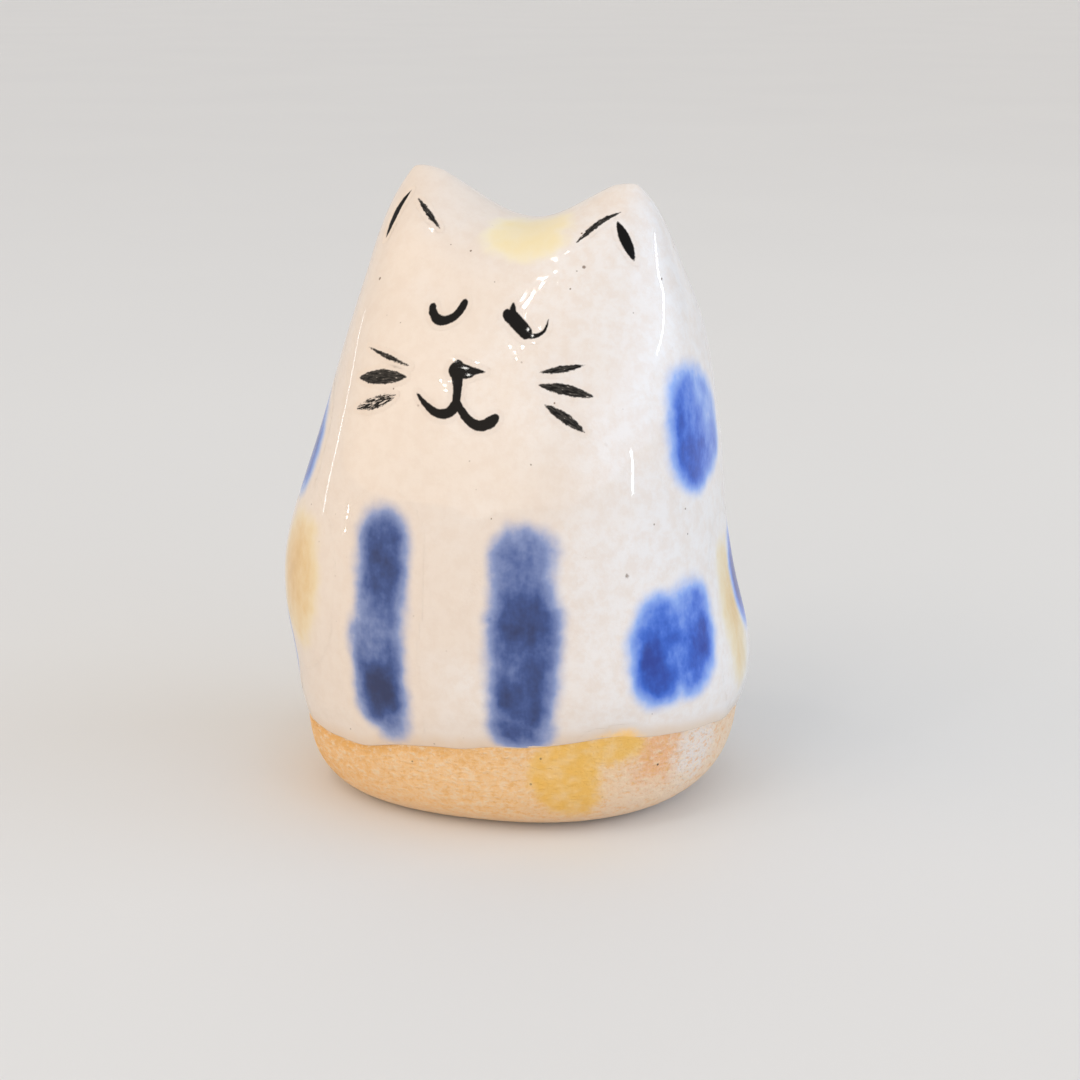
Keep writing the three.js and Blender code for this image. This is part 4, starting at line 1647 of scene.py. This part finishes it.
@dataclass
class FootStain(Painting):
    """The golden stain on the bare foot, which runs a little over the glaze's edge."""

    coat: bpy.types.Object
    strokes: tuple[Stroke, ...] = (
        Stroke(4.4, Nib.BLUNT, ((0.5, 1.5), (0.47, 1.0), (0.46, 0.3))),
        Stroke(3.4, Nib.BLUNT, ((0.36, 1.25), (0.4, 0.9), (0.42, 0.45))),
        Stroke(2.6, Nib.BLUNT, ((0.45, 1.2), (0.58, 1.22), (0.74, 1.3))),
    )
    creeping: tuple[Stroke, ...] = (Stroke(2.4, Nib.BLUNT, ((0.53, 1.22), (0.62, 1.24), (0.74, 1.32))),)
    spacing: float = 0.2
    margin: float = 1.2
    lift: float = 0.02
    creeping_margin: float = 0.9
    creeping_lift: float = 0.014

    def build(self, stain: FootStainFinish, creep: FootStainFinish) -> None:
        """Brushes the stain on the clay, and the little of it that creeps over the glaze's edge.

        Args:
            stain: The stain's finish on the clay.
            creep: Its finish over the glaze.
        """
        on_clay = BrushMark(
            "foot_patch", Canvas.FOOT, self.strokes, spacing=self.spacing, margin=self.margin, lift=self.lift,
        )
        self.lay(on_clay, "bare_yellow", stain.material())
        on_glaze = BrushMark(
            "foot_patch", Canvas.FOOT, self.creeping, spacing=self.spacing, margin=self.creeping_margin,
            lift=self.creeping_lift,
        )
        film = on_glaze.build(self.measure, self.line, self.coat)
        film.name = "brushed_foot_patch_creep"
        Bench.hand_over(film, "foot_patch", "bare_yellow", creep.material())


# ---------- studio ----------


@dataclass(frozen=True)
class Glow:
    """A broad soft light in the surround. Its direction is in shares to the camera, to its right and up."""

    toward: Triple
    reach: float
    strength: float
    colour: Colour


@dataclass(frozen=True)
class Strip:
    """A narrow strip of daylight between two directions, given as a glow's is. Its width is in metres."""

    name: str
    start: Triple
    end: Triple
    width: float
    watts: float


@dataclass
class Studio:
    """A pale floor, soft light and the camera. Its sizes are in metres."""

    floor: FloorFinish
    azimuth: float = 18.0
    elevation: float = 16.0
    distance: float = 0.1755
    aim_right: float = 0.046
    aim_up: float = 0.3775
    lens: float = 70.0
    sensor: float = 36.0
    nearest: float = 0.01
    farthest: float = 40.0
    floor_radius: float = 3.1
    floor_corners: int = 96
    rim_width: float = 0.9
    rim_height: float = 0.25
    rim_rings: int = 12
    rim_curve: float = 2.5
    surround: Colour = (1.0, 0.99, 0.98)
    surround_strength: float = 0.415
    glows: tuple[Glow, ...] = (
        Glow((0.50, -0.84, 0.04), 60.0, 1.34, (1.0, 0.82, 0.62)),
        Glow((0.38, 0.88, -0.2), 62.0, 2.0, (0.56, 0.74, 1.0)),
        Glow((0.95, 0.0, -0.22), 50.0, 0.78, (1.0, 0.90, 0.78)),
        Glow((0.276, 0.0, 0.961), 60.0, 0.24, (1.0, 0.98, 0.96)),
        Glow((-0.8, -0.1, 0.45), 70.0, 0.32, (1.0, 0.97, 0.93)),
    )
    sparkles: tuple[Triple, ...] = (
        (0.65, -0.31, 0.70), (0.72, -0.28, 0.64), (0.73, -0.35, 0.58), (0.69, -0.53, 0.50), (0.70, -0.60, 0.41),
        (0.38, -0.42, 0.83), (0.49, -0.31, 0.82), (0.46, 0.12, 0.88), (0.11, -0.99, -0.05),
    )
    sparkle_spread: tuple[Triple, ...] = (
        (0.0, 0.0, 0.0), (0.0, 0.03, 0.022), (0.0, -0.024, 0.034), (0.0, 0.012, -0.036),
    )
    sparkle_size: float = 0.0034
    sparkle_watts: float = 0.0055
    sparkle_distance: float = 0.42
    sparkle_colour: Colour = (1.0, 0.97, 0.92)
    strips: tuple[Strip, ...] = (
        Strip("daylight_low", (0.48, 0.85, -0.28), (0.66, 0.72, -0.08), 0.009, 0.10),
        Strip("daylight_high", (0.34, 0.91, 0.25), (-0.12, 0.87, 0.48), 0.014, 0.28),
        Strip("daylight_left", (-0.27, -0.96, 0.05), (-0.5, -0.78, 0.38), 0.006, 0.03),
    )
    strip_distance: float = 0.5
    strip_colour: Colour = (0.78, 0.9, 1.0)

    def directions(self) -> tuple[Vector, Vector, Vector]:
        """Gives the directions that the studio is laid out by.

        Returns:
            The directions from the figure to the camera, and to the camera's right and top.
        """
        turn, rise = math.radians(self.azimuth), math.radians(self.elevation)
        level = math.cos(rise)
        back = Vector((math.sin(turn) * level, -math.cos(turn) * level, math.sin(rise)))
        right = Vector((math.cos(turn), math.sin(turn), 0.0))
        return back, right, back.cross(right)

    def away(self, shares: Triple) -> Vector:
        """Turns shares to the camera, to its right and up into a direction of length 1."""
        back, right, up = self.directions()
        return (back * shares[0] + right * shares[1] + up * shares[2]).normalized()

    def build(self) -> None:
        """Sets up the floor, the surround, the lights and the camera."""
        self.lay_floor()
        self.set_glows()
        self.hang_lamps()
        self.aim_camera()

    def lay_floor(self) -> None:
        """Lays a wide round floor, whose far edge sweeps up in a soft curve."""
        bpy.ops.object.select_all(action="DESELECT")
        bpy.ops.mesh.primitive_circle_add(
            vertices=self.floor_corners, radius=self.floor_radius, fill_type="NGON",
        )
        floor = bpy.context.active_object
        floor.name = "studio_floor"
        bpy.ops.object.mode_set(mode="EDIT")
        bpy.ops.mesh.select_all(action="SELECT")
        for _ in range(self.rim_rings):
            bpy.ops.mesh.inset(thickness=self.rim_width / self.rim_rings)
        bpy.ops.object.mode_set(mode="OBJECT")
        for vertex in floor.data.vertices:
            share = max(0.0, 1.0 - (self.floor_radius - vertex.co.xy.length) / self.rim_width)
            vertex.co.z = self.rim_height * share ** self.rim_curve
        Bench.shade(floor, 60.0)
        floor.data.materials.append(self.floor.material())

    def set_glows(self) -> None:
        """Makes the surround: an even pale grey, with broad soft glows where large lamps would hang."""
        world = bpy.data.worlds.new("studio_surround")
        world.use_nodes = True
        bpy.context.scene.world = world
        nodes, links = world.node_tree.nodes, world.node_tree.links
        even = nodes["Background"]
        even.inputs["Color"].default_value = (*self.surround, 1.0)
        even.inputs["Strength"].default_value = self.surround_strength
        total = even.outputs["Background"]
        facing = nodes.new("ShaderNodeTexCoord").outputs["Generated"]
        for glow in self.glows:
            nearness = nodes.new("ShaderNodeVectorMath")
            nearness.operation = "DOT_PRODUCT"
            links.new(facing, nearness.inputs[0])
            nearness.inputs[1].default_value = self.away(glow.toward)
            fade = nodes.new("ShaderNodeMapRange")
            fade.interpolation_type = "SMOOTHSTEP"
            links.new(nearness.outputs["Value"], fade.inputs["Value"])
            fade.inputs["From Min"].default_value = math.cos(math.radians(glow.reach))
            fade.inputs["To Max"].default_value = glow.strength
            soft = nodes.new("ShaderNodeBackground")
            soft.inputs["Color"].default_value = (*glow.colour, 1.0)
            links.new(fade.outputs["Result"], soft.inputs["Strength"])
            both = nodes.new("ShaderNodeAddShader")
            links.new(total, both.inputs[0])
            links.new(soft.outputs["Background"], both.inputs[1])
            total = both.outputs["Shader"]
        links.new(total, nodes["World Output"].inputs["Surface"])

    def hang_lamps(self) -> None:
        """Hangs the small bright lamps that sparkle in the glaze, and the strips of daylight."""
        middle = (CAD_BOX[0] + CAD_BOX[1]) / 2
        spread = [(toward, step) for toward in self.sparkles for step in self.sparkle_spread]
        for number, (toward, step) in enumerate(spread):
            shares = tuple(a + b for a, b in zip(toward, step))
            place = middle + self.away(shares) * self.sparkle_distance
            self.hang_sparkle(f"sparkle_{number}", place, middle)
        for strip in self.strips:
            start = middle + self.away(strip.start) * self.strip_distance
            end = middle + self.away(strip.end) * self.strip_distance
            self.hang_strip(strip, start, end, middle)

    def lamp(self, name: str, shape: str, watts: float, colour: Colour) -> bpy.types.Object:
        """Makes one lamp, which the camera doesn't see.

        Args:
            name: The lamp's name.
            shape: Its shape, "SQUARE" or "RECTANGLE".
            watts: Its power.
            colour: Its colour.

        Returns:
            The lamp, not placed yet.
        """
        data = bpy.data.lights.new(name, "AREA")
        data.shape, data.energy, data.color = shape, watts, colour
        lamp = bpy.data.objects.new(name, data)
        bpy.context.scene.collection.objects.link(lamp)
        lamp.visible_camera = False
        return lamp

    def hang_sparkle(self, name: str, place: Vector, aim: Vector) -> None:
        """Hangs one small square lamp.

        Args:
            name: The lamp's name.
            place: Where it hangs.
            aim: What it faces.
        """
        lamp = self.lamp(name, "SQUARE", self.sparkle_watts, self.sparkle_colour)
        lamp.data.size = self.sparkle_size
        lamp.location = place
        lamp.rotation_euler = (aim - place).to_track_quat("-Z", "Y").to_euler()

    def hang_strip(self, strip: Strip, start: Vector, end: Vector, aim: Vector) -> None:
        """Hangs a narrow strip of daylight, which draws a streak down a corner of the glaze.

        Args:
            strip: The strip.
            start: Where it starts.
            end: Where it ends.
            aim: What it faces.
        """
        place, along = (start + end) / 2, end - start
        lamp = self.lamp(strip.name, "RECTANGLE", strip.watts, self.strip_colour)
        lamp.data.size, lamp.data.size_y = strip.width, along.length
        facing = (place - aim).normalized()
        side = along.normalized().cross(facing).normalized()
        turn = Matrix((side, facing.cross(side), facing)).transposed()
        lamp.matrix_world = Matrix.Translation(place) @ turn.to_4x4()

    def aim_camera(self) -> None:
        """Places the camera at the viewing angle, with its aim a little below the figure's middle."""
        size = CAD_BOX[1] - CAD_BOX[0]
        back, right, up = self.directions()
        aim = right * (self.aim_right * size.x) + up * (self.aim_up * size.z)
        data = bpy.data.cameras.new("camera")
        data.lens, data.sensor_width = self.lens, self.sensor
        data.clip_start, data.clip_end = self.nearest, self.farthest
        data.dof.use_dof = False
        camera = bpy.data.objects.new("camera", data)
        bpy.context.scene.collection.objects.link(camera)
        camera.location = aim + back * self.distance
        camera.rotation_euler = back.to_track_quat("Z", "Y").to_euler()
        bpy.context.scene.camera = camera


# ---------- putting it together ----------


def main() -> None:
    """Builds the figure piece by piece and sets it in the studio."""
    logging.basicConfig(level=logging.INFO, format="%(message)s")
    bpy.context.scene.view_settings.view_transform = "Standard"
    measure = Measure.from_frame()
    line = GlazeLine.from_frame(measure)
    glaze = GlazeFinish()
    clay = BareClayFinish(measure.at(0.8, -0.54, 0.135), measure.at(0.93, -0.36, 0.12))
    body = ClayBody(line, clay).build()
    guide = GlazeCoat(line, glaze).build()
    black = BlackLineFinish(glaze)
    pale = WashFinish(
        glaze, "pale_yellow_wash", pale=(0.84, 0.755, 0.57), full=(0.85, 0.72, 0.42), deep=(0.84, 0.68, 0.34),
        body=0.6, feather=1.0, wander=0.8, cloudiness=0.2,
    )
    ochre = WashFinish(
        glaze, "ochre_wash", pale=(0.80, 0.66, 0.42), full=(0.73, 0.49, 0.205), deep=(0.64, 0.41, 0.16),
        body=0.45, feather=1.6, wander=1.0, cloudiness=0.25,
    )
    stripe_blue = WashFinish(
        glaze, "stripe_blue", pale=(0.27, 0.34, 0.58), full=(0.04, 0.085, 0.285), deep=(0.016, 0.027, 0.10),
        body=0.7, feather=1.25, wander=0.5, cloudiness=0.26, specular=0.2, beneath=ochre,
    )
    spot_blue = WashFinish(
        glaze, "spot_blue", pale=(0.30, 0.44, 0.80), full=(0.03, 0.13, 0.60), deep=(0.008, 0.035, 0.27),
        body=0.71, feather=1.3, wander=0.5, cloudiness=0.26, specular=0.15, beneath=ochre,
    )
    patches = YellowPatches(measure, line, guide)
    FacePainting(measure, line, guide).build(black)
    EarPainting(measure, line, guide).build(black, patches.crown, pale)
    blues = BlueWashes(measure, line, guide)
    blues.build(stripe_blue, spot_blue, patches.haunches)
    patches.build(pale, ochre, blues.marks)
    FootStain(measure, line, body, guide).build(
        FootStainFinish("foot_stain", clay),
        FootStainFinish("foot_stain_creep", glaze, strength=0.85, roughness=0.45, coat=0.8),
    )
    bpy.data.objects.remove(guide)
    Studio(FloorFinish()).build()


if __name__ == "__main__":
    main()
